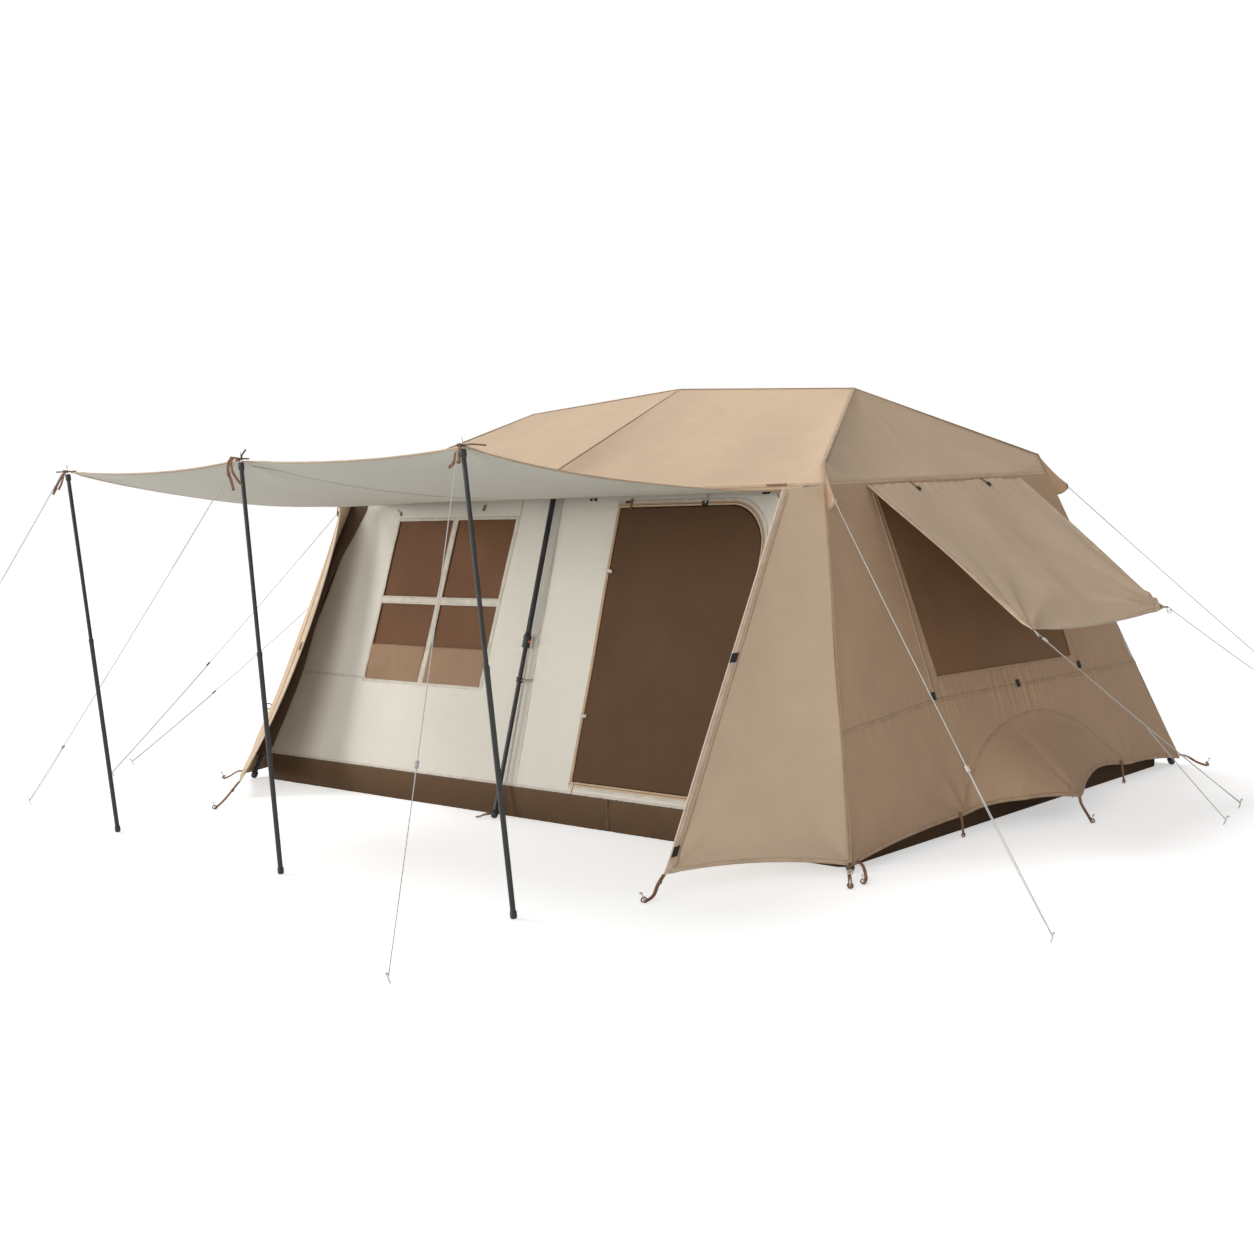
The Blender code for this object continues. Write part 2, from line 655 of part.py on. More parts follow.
def roof_poles(axes):
    centres = {
        "left": Vector((-HUB_X, 0, HUB_Z - HUB_DROP)),
        "right": Vector((HUB_X, 0, HUB_Z - HUB_DROP)),
        "middle": Vector((0, 0, RIDGE_Z - RIDGE_JOINT_DROP)),
    }
    hub("hub_left", centres["left"].x, centres["left"].z)
    hub("hub_right", centres["right"].x, centres["right"].z)
    hub("ridge_joint", 0, centres["middle"].z)
    upright = Vector((0, 0, 1))
    for name, foot, knuckle in axes:
        start = centres[name.split("_")[1]]
        way = (knuckle - start).normalized()
        first = start + way * clear_of(HUB_R, upright, way)
        last = knuckle - way * clear_of(KNUCKLE_R, knuckle - foot, way)
        tube(f"roof_pole_{name}", [first, last], ROOF_POLE_R, black_metal)
    for name in ("left", "right"):
        way = (centres["middle"] - centres[name]).normalized()
        gap = way * clear_of(HUB_R, upright, way)
        ends = [centres[name] + gap, centres["middle"] - gap]
        tube(f"ridge_pole_{name}", ends, ROOF_POLE_R, black_metal)


def canopy_pole(name, foot, head):
    """A two-piece canopy pole: the upper tube and its spike, and the lower tube that slides up over it."""
    start, end = Vector((*foot, 0.0012)), Vector(head)
    matrix, long = along(start, end), (end - start).length
    turned(
        f"canopy_pole_upper_{name}",
        [
            (0, long + SPIKE_LONG),
            (SPIKE_R, long + SPIKE_LONG),
            (SPIKE_R, long - 0.014),
            (POLE_INNER_R, long - 0.014),
            (POLE_INNER_R, POLE_SPLIT - POLE_LAP),
            (0, POLE_SPLIT - POLE_LAP),
        ],
        matrix,
        black_metal,
    )
    turned(
        f"canopy_pole_lower_{name}",
        [
            (0, POLE_BORE_FLOOR),
            (POLE_BORE_R, POLE_BORE_FLOOR),
            (POLE_BORE_R, POLE_SPLIT),
            (POLE_R, POLE_SPLIT),
            (POLE_R, 0.030),
            (POLE_R + 0.003, 0.026),
            (POLE_R + 0.003, 0.006),
            (POLE_R - 0.001, 0),
            (0, 0),
        ],
        matrix,
        black_metal,
    )


def guy_line(name, tie, peg, sag=0.012):
    """A taut guy line from its tie to a peg, with a slight sag. The line and its peg are one solid."""
    tie, peg_head = Vector(tie), Vector((*peg, PEG_HIGH - PEG_NOTCH))
    points = []
    for step in range(GUY_STEPS + 1):
        share = step / GUY_STEPS
        points.append(tie.lerp(peg_head, share) - Vector((0, 0, sag * arch(share))))
    line = apply_all(tube(name, points, GUY_R, guy_cord))
    away = (peg_head - tie).to_2d().normalized()
    top = Vector((peg[0] + away.x * 0.006, peg[1] + away.y * 0.006, PEG_HIGH))
    low = Vector((peg[0] - away.x * 0.008, peg[1] - away.y * 0.008, 0.0015))
    pin = tube(name + "_peg", [low, top], PEG_R, None)
    combine(line, apply_all(pin), "UNION")


def tail_start():
    """Where the right flap's second strand leaves the first one, just clear of it."""
    corner = Vector(flap_corner(1, -1, 0.010))
    return corner.lerp(Vector((*FLAP_PEG, PEG_HIGH)), TAIL_SHARE) + Vector((0.006, -0.004, -0.024))


roof_fly()
for side in (1, -1):
    end_wall(side)
    end_window(side)
    window_flap(side)
    wing(side)
back_wall()
front_wall()
window_panes()
door_panel()
groundsheet()
canopy()
legs = leg_axes()
for name, foot, knuckle in legs:
    leg(name, foot, knuckle)
roof_poles(legs)
for name, foot, head in zip(("left", "middle", "right"), POLE_FEET, POLE_HEADS):
    canopy_pole(name, foot, head)

guy_line("guy_front_right", (TIE_X, -TIE_Y, TIE_Z), (3.323, -1.955))
guy_line("guy_front_left", (-TIE_X, -TIE_Y, TIE_Z), (-2.974, -1.913))
guy_line("guy_back_right", (TIE_X, TIE_Y, TIE_Z), (3.15, 1.80))
guy_line("guy_pole_left", (-1.47, -2.925, 1.79), (-2.72, -3.52))
guy_line("guy_pole_middle", (0.045, -2.945, 1.79), (-2.523, -2.678))
guy_line("guy_pole_right", (1.462, -2.925, 1.79), (1.786, -3.629))
guy_line("guy_flap_right_front", flap_corner(1, -1, 0.010), FLAP_PEG)
guy_line("guy_flap_right_back", flap_corner(1, 1, 0.010), (2.53, 2.85))
guy_line("guy_flap_left_front", flap_corner(-1, -1, 0.010), (-3.237, -1.623))
guy_line("guy_flap_right_tail", tail_start(), (3.011, 0.156), 0.004)
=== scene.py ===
import math

import bmesh
import bpy
import numpy as np
from mathutils import Matrix, Vector


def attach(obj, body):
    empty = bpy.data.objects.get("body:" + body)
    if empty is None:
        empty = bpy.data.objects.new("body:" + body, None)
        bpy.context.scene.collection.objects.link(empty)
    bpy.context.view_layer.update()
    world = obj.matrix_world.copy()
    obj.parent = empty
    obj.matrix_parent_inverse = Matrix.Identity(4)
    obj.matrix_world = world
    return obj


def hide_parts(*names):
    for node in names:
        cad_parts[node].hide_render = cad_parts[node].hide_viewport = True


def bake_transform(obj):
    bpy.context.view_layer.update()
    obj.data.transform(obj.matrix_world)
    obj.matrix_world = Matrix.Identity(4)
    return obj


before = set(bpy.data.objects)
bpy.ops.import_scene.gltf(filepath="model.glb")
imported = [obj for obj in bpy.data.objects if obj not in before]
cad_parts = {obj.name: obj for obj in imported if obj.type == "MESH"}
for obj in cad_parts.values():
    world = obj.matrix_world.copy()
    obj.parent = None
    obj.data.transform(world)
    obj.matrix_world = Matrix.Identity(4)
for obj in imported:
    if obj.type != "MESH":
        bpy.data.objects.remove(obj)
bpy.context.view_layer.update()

# Camera. It stands in front of the tent and well to the right of the door, a little above a person's
# chest, looks back at the porch and is tipped slightly, so that the tent's long side falls away left.
EYE = (6.19895, -7.07103, 1.65225)
TURN, DOWN, TIP = 0.75656, 0.08672, -0.04096
LENS, FILM = 48.40, 36.0

camera_data = bpy.data.cameras.new("camera")
camera_data.lens, camera_data.sensor_width = LENS, FILM
camera = bpy.data.objects.new("camera", camera_data)
bpy.context.scene.collection.objects.link(camera)
level = Matrix.Rotation(TURN, 4, "Z") @ Matrix.Rotation(math.pi / 2 - DOWN, 4, "X")
camera.matrix_world = Matrix.Translation(EYE) @ level @ Matrix.Rotation(TIP, 4, "Z")
bpy.context.scene.camera = camera
bpy.context.scene.view_settings.view_transform = "Standard"


# Materials. Every finish of the tent is a Principled shader whose colour, roughness and bump come from
# expressions on wires, so that the lines below read as the sums and products that they are.
class Wire:
    """One socket of a material's nodes. Arithmetic on wires and numbers adds Math nodes."""

    def __init__(self, tree, socket=None):
        self.tree, self.socket = tree, socket

    def add(self, kind, settings=None, inputs=None, out=0):
        """Adds a node: its settings first, then a value or a wire for each named input."""
        node = self.tree.nodes.new(kind)
        for key, value in (settings or {}).items():
            setattr(node, key, value)
        for key, value in (inputs or {}).items():
            if isinstance(value, Wire):
                self.tree.links.new(value.socket, node.inputs[key])
            else:
                node.inputs[key].default_value = value
        return Wire(self.tree, node.outputs[out])

    def maths(self, operation, *values):
        """A Math node on this wire and the values, in that order."""
        return self.add("ShaderNodeMath", {"operation": operation}, dict(enumerate((self, *values))))

    def __add__(self, other):
        return self.maths("ADD", other)

    def __sub__(self, other):
        return self.maths("SUBTRACT", other)

    def __rsub__(self, other):
        return self.add("ShaderNodeMath", {"operation": "SUBTRACT"}, {0: other, 1: self})

    def __mul__(self, other):
        return self.maths("MULTIPLY", other)

    def __abs__(self):
        return self.maths("ABSOLUTE")

    __radd__, __rmul__ = __add__, __mul__

    def sine(self):
        """The sine of this wire in radians."""
        return self.maths("SINE")

    def waves(self, long):
        """A sine wave whose crests are long metres apart along this wire."""
        return (self * (2 * math.pi / long)).sine()

    def above(self, low, high):
        """0 where this is under low, 1 over high, and smooth between."""
        settings = {"interpolation_type": "SMOOTHSTEP", "clamp": True}
        return self.add("ShaderNodeMapRange", settings, {0: self, 1: low, 2: high})

    def tint(self, low, high):
        """A colour between low at 0 and high at 1, each a colour or a wire."""
        ends = [end if isinstance(end, Wire) else (*end, 1) for end in (low, high)]
        return self.add("ShaderNodeMix", {"data_type": "RGBA"}, {0: self, 6: ends[0], 7: ends[1]}, 2)

    def split(self, axis):
        """One of the three numbers of a vector."""
        return self.add("ShaderNodeSeparateXYZ", inputs={0: self}, out="XYZ".index(axis))

    def noise(self, scale, detail, rough=0.55, stretch=(1, 1, 1)):
        """Soft noise from 0 to 1 on this wire's coordinates, its cells drawn out by stretch."""
        spread = self.add("ShaderNodeMapping", inputs={"Vector": self, "Scale": stretch})
        inputs = {"Vector": spread, "Scale": scale, "Detail": detail, "Roughness": rough}
        return self.add("ShaderNodeTexNoise", inputs=inputs)

    def bump(self, depth, strength=1.0, under=None):
        """A bent normal from this wire as a height, with depth in metres."""
        inputs = {"Height": self, "Distance": depth, "Strength": strength}
        if under:
            inputs["Normal"] = under
        return self.add("ShaderNodeBump", inputs=inputs)


def start_finish(name, roughness, **fixed):
    """A new material with fixed shader values. Returns it, its shader, Object and UV coordinates."""
    material = bpy.data.materials.new(name)
    material.use_nodes = True
    shader = material.node_tree.nodes["Principled BSDF"]
    shader.inputs["Roughness"].default_value = roughness
    for key, value in fixed.items():
        shader.inputs[key.replace("_", " ")].default_value = value
    start = Wire(material.node_tree)
    where = start.add("ShaderNodeTexCoord", out=3)
    cloth_uv = start.add("ShaderNodeUVMap", {"uv_map": "cloth"})
    return material, shader, where, cloth_uv


def feed(shader, **wires):
    """Links wires to the shader's sockets."""
    for key, wire in wires.items():
        wire.tree.links.new(wire.socket, shader.inputs[key.replace("_", " ")])


# Ground and light. The tent stands on a pale studio floor that runs off to white. A low lamp on the left
# casts the left wing's shade on the front wall. One above it, a broad one in front and a weak one on the
# right fill in, with an even sky.
FLOOR_SIZE, FLOOR_DROP = 60.0, 0.0004
SKY, FLOOR_SHADE, FLOOR_SEEN, FLOOR_GLOW = 0.30, 0.80, 0.88, 0.49


def studio_floor():
    """A flat floor. Light from it is a pale grey's. The camera sees part of its shade and a white glow."""
    material, shader, where, _ = start_finish("studio_floor", 0.9)
    tree = material.node_tree
    path = where.add("ShaderNodeLightPath")
    seen = path.maths("MAXIMUM", Wire(tree, path.socket.node.outputs["Is Glossy Ray"]))
    feed(shader, Base_Color=seen.tint([FLOOR_SHADE] * 3, [FLOOR_SEEN] * 3))
    glow = where.add("ShaderNodeEmission", inputs={"Color": (1, 1, 1, 1), "Strength": seen * FLOOR_GLOW})
    lit = where.add("ShaderNodeAddShader", inputs={0: Wire(tree, shader.outputs[0]), 1: glow})
    tree.links.new(lit.socket, tree.nodes["Material Output"].inputs["Surface"])
    half = FLOOR_SIZE / 2
    corners = [(x, y, -FLOOR_DROP) for x, y in ((-half, -half), (half, -half), (half, half), (-half, half))]
    mesh = bpy.data.meshes.new("studio_floor")
    mesh.from_pydata(corners, [], [(0, 1, 2, 3)])
    mesh.materials.append(material)
    floor = bpy.data.objects.new("studio_floor", mesh)
    bpy.context.scene.collection.objects.link(floor)


def lamp(name, strength, toward, softness):
    """A distant lamp that shines from the direction toward, its light spread over softness degrees."""
    data = bpy.data.lights.new(name, "SUN")
    data.energy, data.angle = strength, math.radians(softness)
    light = bpy.data.objects.new(name, data)
    light.rotation_euler = Vector(toward).to_track_quat("Z", "Y").to_euler()
    bpy.context.scene.collection.objects.link(light)


def white_sky():
    """An even sky: SKY strong as a light, and plain white where the camera sees it."""
    world = bpy.data.worlds.new("sky")
    world.use_nodes = True
    bpy.context.scene.world = world
    tree = world.node_tree
    path = Wire(tree).add("ShaderNodeLightPath")
    seen = path.maths("MAXIMUM", Wire(tree, path.socket.node.outputs["Is Transmission Ray"]))
    tree.links.new((seen * (1 - SKY) + SKY).socket, tree.nodes["Background"].inputs["Strength"])
    tree.nodes["Background"].inputs["Color"].default_value = (1, 1, 1, 1)


studio_floor()
white_sky()
lamp("top_lamp", 1.12, (-0.55, -0.10, 0.83), 25)
lamp("left_lamp", 1.22, (-0.690, -0.710, 0.135), 17)
lamp("front_lamp", 0.98, (0.10, -0.96, 0.23), 40)
lamp("right_lamp", 0.42, (0.95, -0.25, 0.20), 60)


# Guy lines. Each is a thin braided cord tied to the tent or to a pole's spike. It runs through a small
# runner and, doubled, on to a steel peg driven in at a slant.
CORD_D = 0.004
STRAND_D = 0.0032
PEG_TOP, PEG_NOTCH, RUNNER_LONG, GUY_SAG = 0.045, 0.012, 0.030, 0.012
TIE = (1.786, 1.036, 1.525)
FLAP_OUT, FLAP_HALF, FLAP_LOW = 2.517, 0.68, 0.940
FLAP_SKEW_X, FLAP_SKEW_Z = 0.027, 0.009


def arch(share):
    """A hump over 0 to 1: nothing at both ends, 1 in the middle."""
    return 4 * share * (1 - share)


def between(low, high, share):
    """Low at a share of 0, high at 1, and in a straight line between them."""
    return low + (high - low) * share


def ease(value, low, high):
    """0 below low, 1 above high, and a smooth step between them."""
    share = np.clip((value - low) / (high - low), 0, 1)
    return share * share * (3 - 2 * share)


def unit(vectors):
    """Vectors divided by their own lengths."""
    return vectors / np.maximum(np.linalg.norm(vectors, axis=-1, keepdims=True), 1e-9)


def spots(x, y, z):
    """An array of points from three arrays or numbers."""
    return np.stack(np.broadcast_arrays(x, y, z), axis=-1).astype(float)


def run_along(points):
    """How far along a line each of its points is: the sums of the steps before it."""
    return np.concatenate([[0], np.cumsum(np.linalg.norm(np.diff(points, axis=0), axis=1))])


def evenly(points, count):
    """The same line with count points at even distances along it."""
    points = np.asarray(points, float)
    run = run_along(points)
    steps = np.linspace(0, run[-1], count)
    return np.stack([np.interp(steps, run, points[:, i]) for i in range(points.shape[1])], axis=-1)


def smooth_line(points, count):
    """A smooth curve through a few points, by cubic pieces whose slopes follow their neighbours."""
    points = np.asarray(points, float)
    slopes = np.gradient(points, axis=0)
    spot = np.linspace(0, len(points) - 1, count)
    first = np.minimum(spot.astype(int), len(points) - 2)
    t = (spot - first)[:, None]
    ends = (2 * t**3 - 3 * t**2 + 1) * points[first] + (3 * t**2 - 2 * t**3) * points[first + 1]
    return ends + (t**3 - 2 * t**2 + t) * slopes[first] + (t**3 - t**2) * slopes[first + 1]


def add_mesh(name, points, faces, finishes, uv, weld=False, crisp=None):
    """A smooth-shaded object from points and faces of one size. Points that no face uses are left out;
    weld merges the points that coincide, as at a pole, and crisp is the angle past which an edge is sharp."""
    used, renamed = np.unique(faces, return_inverse=True)
    faces = renamed.reshape(np.shape(faces))
    mesh = bpy.data.meshes.new(name)
    mesh.from_pydata(points.reshape(-1, 3)[used].tolist(), [], faces.tolist())
    layer = mesh.uv_layers.new(name="cloth")
    layer.data.foreach_set("uv", uv.reshape(-1, 2)[used][faces.ravel()].ravel())
    if weld:
        form = bmesh.new()
        form.from_mesh(mesh)
        bmesh.ops.remove_doubles(form, verts=form.verts, dist=0.00002)
        form.to_mesh(mesh)
        form.free()
    mesh.shade_smooth()
    if crisp:
        mesh.set_sharp_from_angle(angle=math.radians(crisp))
    for finish in finishes if isinstance(finishes, (list, tuple)) else [finishes]:
        mesh.materials.append(finish)
    piece = bpy.data.objects.new(name, mesh)
    bpy.context.scene.collection.objects.link(piece)
    return piece


def quads(rows, columns, close_rows=False, close_columns=False):
    """Faces between neighbouring points of a grid, facing along columns cross rows."""
    number = np.arange(rows * columns).reshape(rows, columns)
    if close_rows:
        number = np.concatenate([number, number[:1]])
    if close_columns:
        number = np.concatenate([number, number[:, :1]], axis=1)
    return np.stack([number[:-1, :-1], number[:-1, 1:], number[1:, 1:], number[1:, :-1]], axis=-1)


def round_section(sides, radius=1.0):
    """A circle, counter-clockwise."""
    angle = np.linspace(0, 2 * math.pi, sides, endpoint=False)
    return np.stack([np.cos(angle), np.sin(angle)], axis=-1) * radius


def flat_section(wide, thick, square, sides=12):
    """A rounded slab: a circle whose cosine and sine are raised to the power square."""
    circle = round_section(sides)
    return np.sign(circle) * np.abs(circle) ** square * (wide / 2, thick / 2)


def sweep(name, path, section, finish, scale=1.0, out=(0.03, 0.02, 1), crisp=None, ring=False, wide=None):
    """Carries a closed section along a path. Section x goes across and y goes along out, made square to
    the path. Its ends close to a point, or meet where the path is a ring. UV is metres along and round,
    or, for a strap that is wide metres across, the share of its width."""
    path = np.asarray(path, float)
    ahead = unit(np.roll(path, -1, 0) - np.roll(path, 1, 0)) if ring else unit(np.gradient(path, axis=0))
    across = unit(np.cross(ahead, np.broadcast_to(np.asarray(out, float), path.shape)))
    up = np.cross(across, ahead)
    size = np.broadcast_to(np.asarray(scale, float), len(path))[:, None, None]
    if not ring:
        path = np.concatenate([path[:1], path, path[-1:]])
        across, up = (np.concatenate([v[:1], v, v[-1:]]) for v in (across, up))
        size = np.concatenate([size[:1] * 0, size, size[-1:] * 0])
    shape = (across[:, None] * section[:, :1] + up[:, None] * section[:, 1:]) * size
    points = path[:, None] + shape
    girth = section[:, 0] / wide if wide else run_along(section)
    uv = np.stack(np.broadcast_arrays(run_along(path)[:, None], girth[None, :]), axis=-1)
    faces = quads(*points.shape[:2], close_rows=ring, close_columns=True).reshape(-1, 4)[:, ::-1]
    return add_mesh(name, points, faces, finish, uv, weld=True, crisp=crisp)


def dress(piece, body, slot, *nodes):
    """The piece rides on a body and stands for the named nodes. The slot is not used."""
    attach(piece, body)
    if nodes:
        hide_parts(*nodes)
    return piece


def shade(colour, share):
    """A colour made darker or lighter by a share of itself."""
    return tuple(value * share for value in colour)


def braided_cord(name, colour):
    """Braided polyester: slanting strands cross along the cord."""
    material, shader, where, uv = start_finish(name, 0.75, Sheen_Weight=0.2)
    along, across = uv.split("X"), uv.split("Y")
    strands = (along * 2600 + across * 900).sine() * (along * 2600 - across * 900).sine()
    raised = strands.above(-1, 1)
    feed(shader, Base_Color=raised.tint(shade(colour, 0.72), colour), Normal=raised.bump(0.0003))
    return material


def moulded(name, colour, roughness):
    """Moulded plastic with a fine spark-eroded grain and slightly paler, worn high spots."""
    material, shader, where, _ = start_finish(name, roughness)
    speck = where.noise(900, 2)
    wear = where.noise(35, 4).above(0.45, 0.75)
    pale = tuple(value * 1.25 + 0.006 for value in colour)
    feed(shader, Base_Color=wear.tint(colour, pale), Roughness=wear * 0.12 + roughness)
    feed(shader, Normal=speck.bump(0.0002, 0.25))
    return material


def steel(name, colour):
    """Plated wire: bright, drawn lengthwise, with dull patches."""
    material, shader, where, uv = start_finish(name, 0.3, Metallic=1.0)
    dull = where.noise(22, 4).above(0.35, 0.75)
    drawn = uv.noise(300, 3, stretch=(0.05, 4, 1))
    feed(shader, Base_Color=dull.tint(colour, shade(colour, 0.7)), Normal=drawn.bump(0.0001, 0.3))
    feed(shader, Roughness=dull * 0.25 + drawn * 0.1 + 0.25)
    return material


guy_white = braided_cord("guy_white", (0.66, 0.65, 0.61))
black_moulding = moulded("black_moulding", (0.018, 0.018, 0.019), 0.42)
grey_moulding = moulded("grey_moulding", (0.36, 0.36, 0.36), 0.4)
pale_moulding = moulded("pale_moulding", (0.68, 0.66, 0.62), 0.4)
peg_steel = steel("peg_steel", (0.62, 0.61, 0.59))


def flap_tie(side, end):
    """Where a flap's guy line is tied: just past the flap's low corner."""
    past = 0.010
    x = side * (FLAP_OUT - FLAP_SKEW_X * end + past)
    return np.array((x, end * (FLAP_HALF + past), FLAP_LOW - FLAP_SKEW_Z * end))


def peg_head(peg):
    """Where a cord sits in the hook of a peg."""
    return np.array([*peg, PEG_TOP - PEG_NOTCH])


def steel_peg(name, tie, peg):
    """A bent wire peg: its shank leans away from the tent and ends in a small hook that turns down."""
    away = unit(np.array(peg) - np.array(tie[:2]))
    spot = [(-0.008, 0.0045), (0.002, 0.022), (0.006, 0.034), (0.009, 0.042), (0.014, 0.0445), (0.019, 0.040)]
    line = [(peg[0] + away[0] * reach, peg[1] + away[1] * reach, high) for reach, high in spot]
    out = (away[1], -away[0], 0.01)
    pin = sweep(name, smooth_line(line, 16), round_section(8, 0.0030), peg_steel, out=out)
    return dress(pin, "tent", "peg_metal")


def runner(name, middle, way, finish):
    """A guy runner: a small moulded barrel, waisted, that the cord is threaded through."""
    path = middle + way * (np.linspace(-0.5, 0.5, 9) * RUNNER_LONG)[:, None]
    girth = np.array([0.55, 0.9, 1.0, 0.88, 0.8, 0.88, 1.0, 0.9, 0.55])
    return sweep(name, path, flat_section(0.017, 0.010, 0.6), finish, scale=girth, crisp=50)


def guy_strand(name, line, wide, sides):
    """A taut cord along a line: its mesh."""
    strand = sweep(name, line, round_section(sides, wide / 2), guy_white)
    return strand


def guy_line(name, node, tie, peg, runner_at, runner_finish):
    """A taut guy line with its runner, its peg and, from the runner down, its returning strand. Straight
    from tie to peg, less a small sag."""
    head, tie, share = peg_head(peg), np.array(tie, float), np.linspace(0, 1, 61)[:, None]
    drop, way = np.array([0, 0, -GUY_SAG]), unit(head - tie)
    line = between(tie, head, share) + drop * arch(share)
    middle = line[int(60 * runner_at)]
    pin, barrel = steel_peg(name + "_peg", tie, peg), runner(name + "_runner", middle, way, runner_finish)
    back = between(middle - np.array([0, 0, 0.0045]), head - np.array([0, 0, 0.004]), share)
    back = back + (np.cross(way, (0, 0, 1.0)) * 0.004 + drop * 0.4) * arch(share)
    main = guy_strand(name, line, CORD_D, 8)
    second = guy_strand(name + "_return", back, STRAND_D, 6)
    for piece in (main, second, barrel):
        if node.startswith("guy_flap"):
            "_".join(node.split("_")[1:3])
            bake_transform(piece)
        else:
            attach(piece, "tent")
    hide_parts(node)


def flap_tail():
    """The loose second strand of the right flap's front line. It leaves the line near its runner and is
    pegged nearer the tent."""
    front_peg, own_peg = np.array((*FLAP_PEG, PEG_TOP)), (3.011, 0.156)
    start = between(flap_tie(1, -1), front_peg, 0.52) + (0.006, -0.004, -0.024)
    share = np.linspace(0, 1, 31)[:, None]
    line = between(start, peg_head(own_peg), share) - np.array([0, 0, 0.004]) * arch(share)
    pin = steel_peg("flap_tail_peg", start, own_peg)
    dress(guy_strand("flap_guy_tail", line, CORD_D, 8), "tent", "guy_cord", "guy_flap_right_tail")


tie_x, tie_y, tie_z = TIE
FLAP_PEG = (2.912, 0.546)
for row in (
    ("corner_guy_right", "guy_front_right", (tie_x, -tie_y, tie_z), (3.323, -1.955), 0.675, pale_moulding),
    ("corner_guy_left", "guy_front_left", (-tie_x, -tie_y, tie_z), (-2.974, -1.913), 0.57, black_moulding),
    ("corner_guy_back", "guy_back_right", (tie_x, tie_y, tie_z), (3.15, 1.80), 0.6, black_moulding),
    ("pole_guy_left", "guy_pole_left", (-1.47, -2.925, 1.79), (-2.72, -3.52), 0.6, grey_moulding),
    ("pole_guy_middle", "guy_pole_middle", (0.045, -2.945, 1.79), (-2.523, -2.678), 0.80, grey_moulding),
    ("pole_guy_right", "guy_pole_right", (1.462, -2.925, 1.79), (1.786, -3.629), 0.62, grey_moulding),
    ("flap_guy_right", "guy_flap_right_front", flap_tie(1, -1), FLAP_PEG, 0.06, pale_moulding),
    ("flap_guy_back", "guy_flap_right_back", flap_tie(1, 1), (2.53, 2.85), 0.5, grey_moulding),
    ("flap_guy_left", "guy_flap_left_front", flap_tie(-1, -1), (-3.237, -1.623), 0.55, black_moulding),
):
    guy_line(*row)
flap_tail()


# Tub floor. One piece of heavy brown coated cloth, folded up into low walls all round and welded at the
# corners; its top edge is sewn to the walls above it.
TUB_X, TUB_Y, TUB_Z, TUB_LEAN = 2.075, 1.435, 0.156, 0.03
TUB_CORNER, TUB_WALL, WEAVE = 0.05, 0.2, 0.0016


def cloth_finish(name, colour, crease=0.010, roughness=0.82, mottle=0.06, sheen=0.04, grime=0.0, shine=0.2):
    """Woven cloth: two crossed sets of yarns, faint slubs, soft creases at two sizes, uneven dye, and
    grime that gathers towards the ground. The weave follows the cloth's own metres."""
    material, shader, where, uv = start_finish(
        name, roughness, Sheen_Weight=sheen, Sheen_Roughness=0.6, Specular_IOR_Level=shine)
    yarns = uv.split("X").waves(WEAVE) * uv.split("Y").waves(WEAVE)
    slub = uv.noise(60, 2, stretch=(1, 14, 1)) + uv.noise(60, 2, stretch=(14, 1, 1))
    broad = where.noise(1.3, 3)
    fine = where.noise(7, 4, 0.6)
    patchy = (broad - 0.5) * 1.2 + (fine - 0.5) * 0.5 + (slub - 1) * 0.35 + 0.5
    dyed = patchy.above(0.1, 0.9).tint(shade(colour, 1 - mottle), shade(colour, 1 + mottle))
    if grime:
        low = 1 - (where.split("Z") + fine * 0.12).above(0.06, 0.30)
        dyed = low.tint(dyed, shade(colour, 1 - grime))
    creases = where.noise(2.2, 4, 0.5, stretch=(1, 1, 1.6)).bump(crease * 2.2, 0.8)
    crumple = where.noise(11, 5, 0.55).bump(crease * 0.28, 0.7, creases)
    feed(shader, Base_Color=dyed, Normal=yarns.bump(WEAVE * 0.12, 0.5, crumple))
    feed(shader, Roughness=fine * 0.08 + roughness - 0.04)
    return material


tub_brown = cloth_finish("tub_brown", (0.140, 0.084, 0.048), 0.014, 0.75, sheen=0.0, grime=0.25, shine=0.04)


def tub_ring(inset, high):
    """A rounded rectangle round the floor: four straight sides and four quarter circles."""
    corner = np.linspace(0, math.pi / 2, 9)
    half_x, half_y = TUB_X - inset, TUB_Y - inset * TUB_Y / TUB_X if inset > TUB_WALL else TUB_Y
    radius = min(TUB_CORNER, half_y * 0.5)
    arcs = []
    for quarter, centre in enumerate(((1, 1), (-1, 1), (-1, -1), (1, -1))):
        angle = corner + quarter * math.pi / 2
        turned = radius * np.stack([np.cos(angle), np.sin(angle)], -1)
        arcs.append(turned + np.array(centre) * (half_x - radius, half_y - radius))
    outline = evenly(np.concatenate(arcs + [arcs[0][:1]]), 601)[:-1]
    return spots(outline[:, 0], outline[:, 1], high)


def thicken(piece, thick, back=None):
    """Gives a sheet its thickness, behind its face, and a lining finish on the back if it has one."""
    wall = piece.modifiers.new("thickness", "SOLIDIFY")
    wall.thickness, wall.offset = thick, -1
    if back is not None:
        wall.material_offset = back


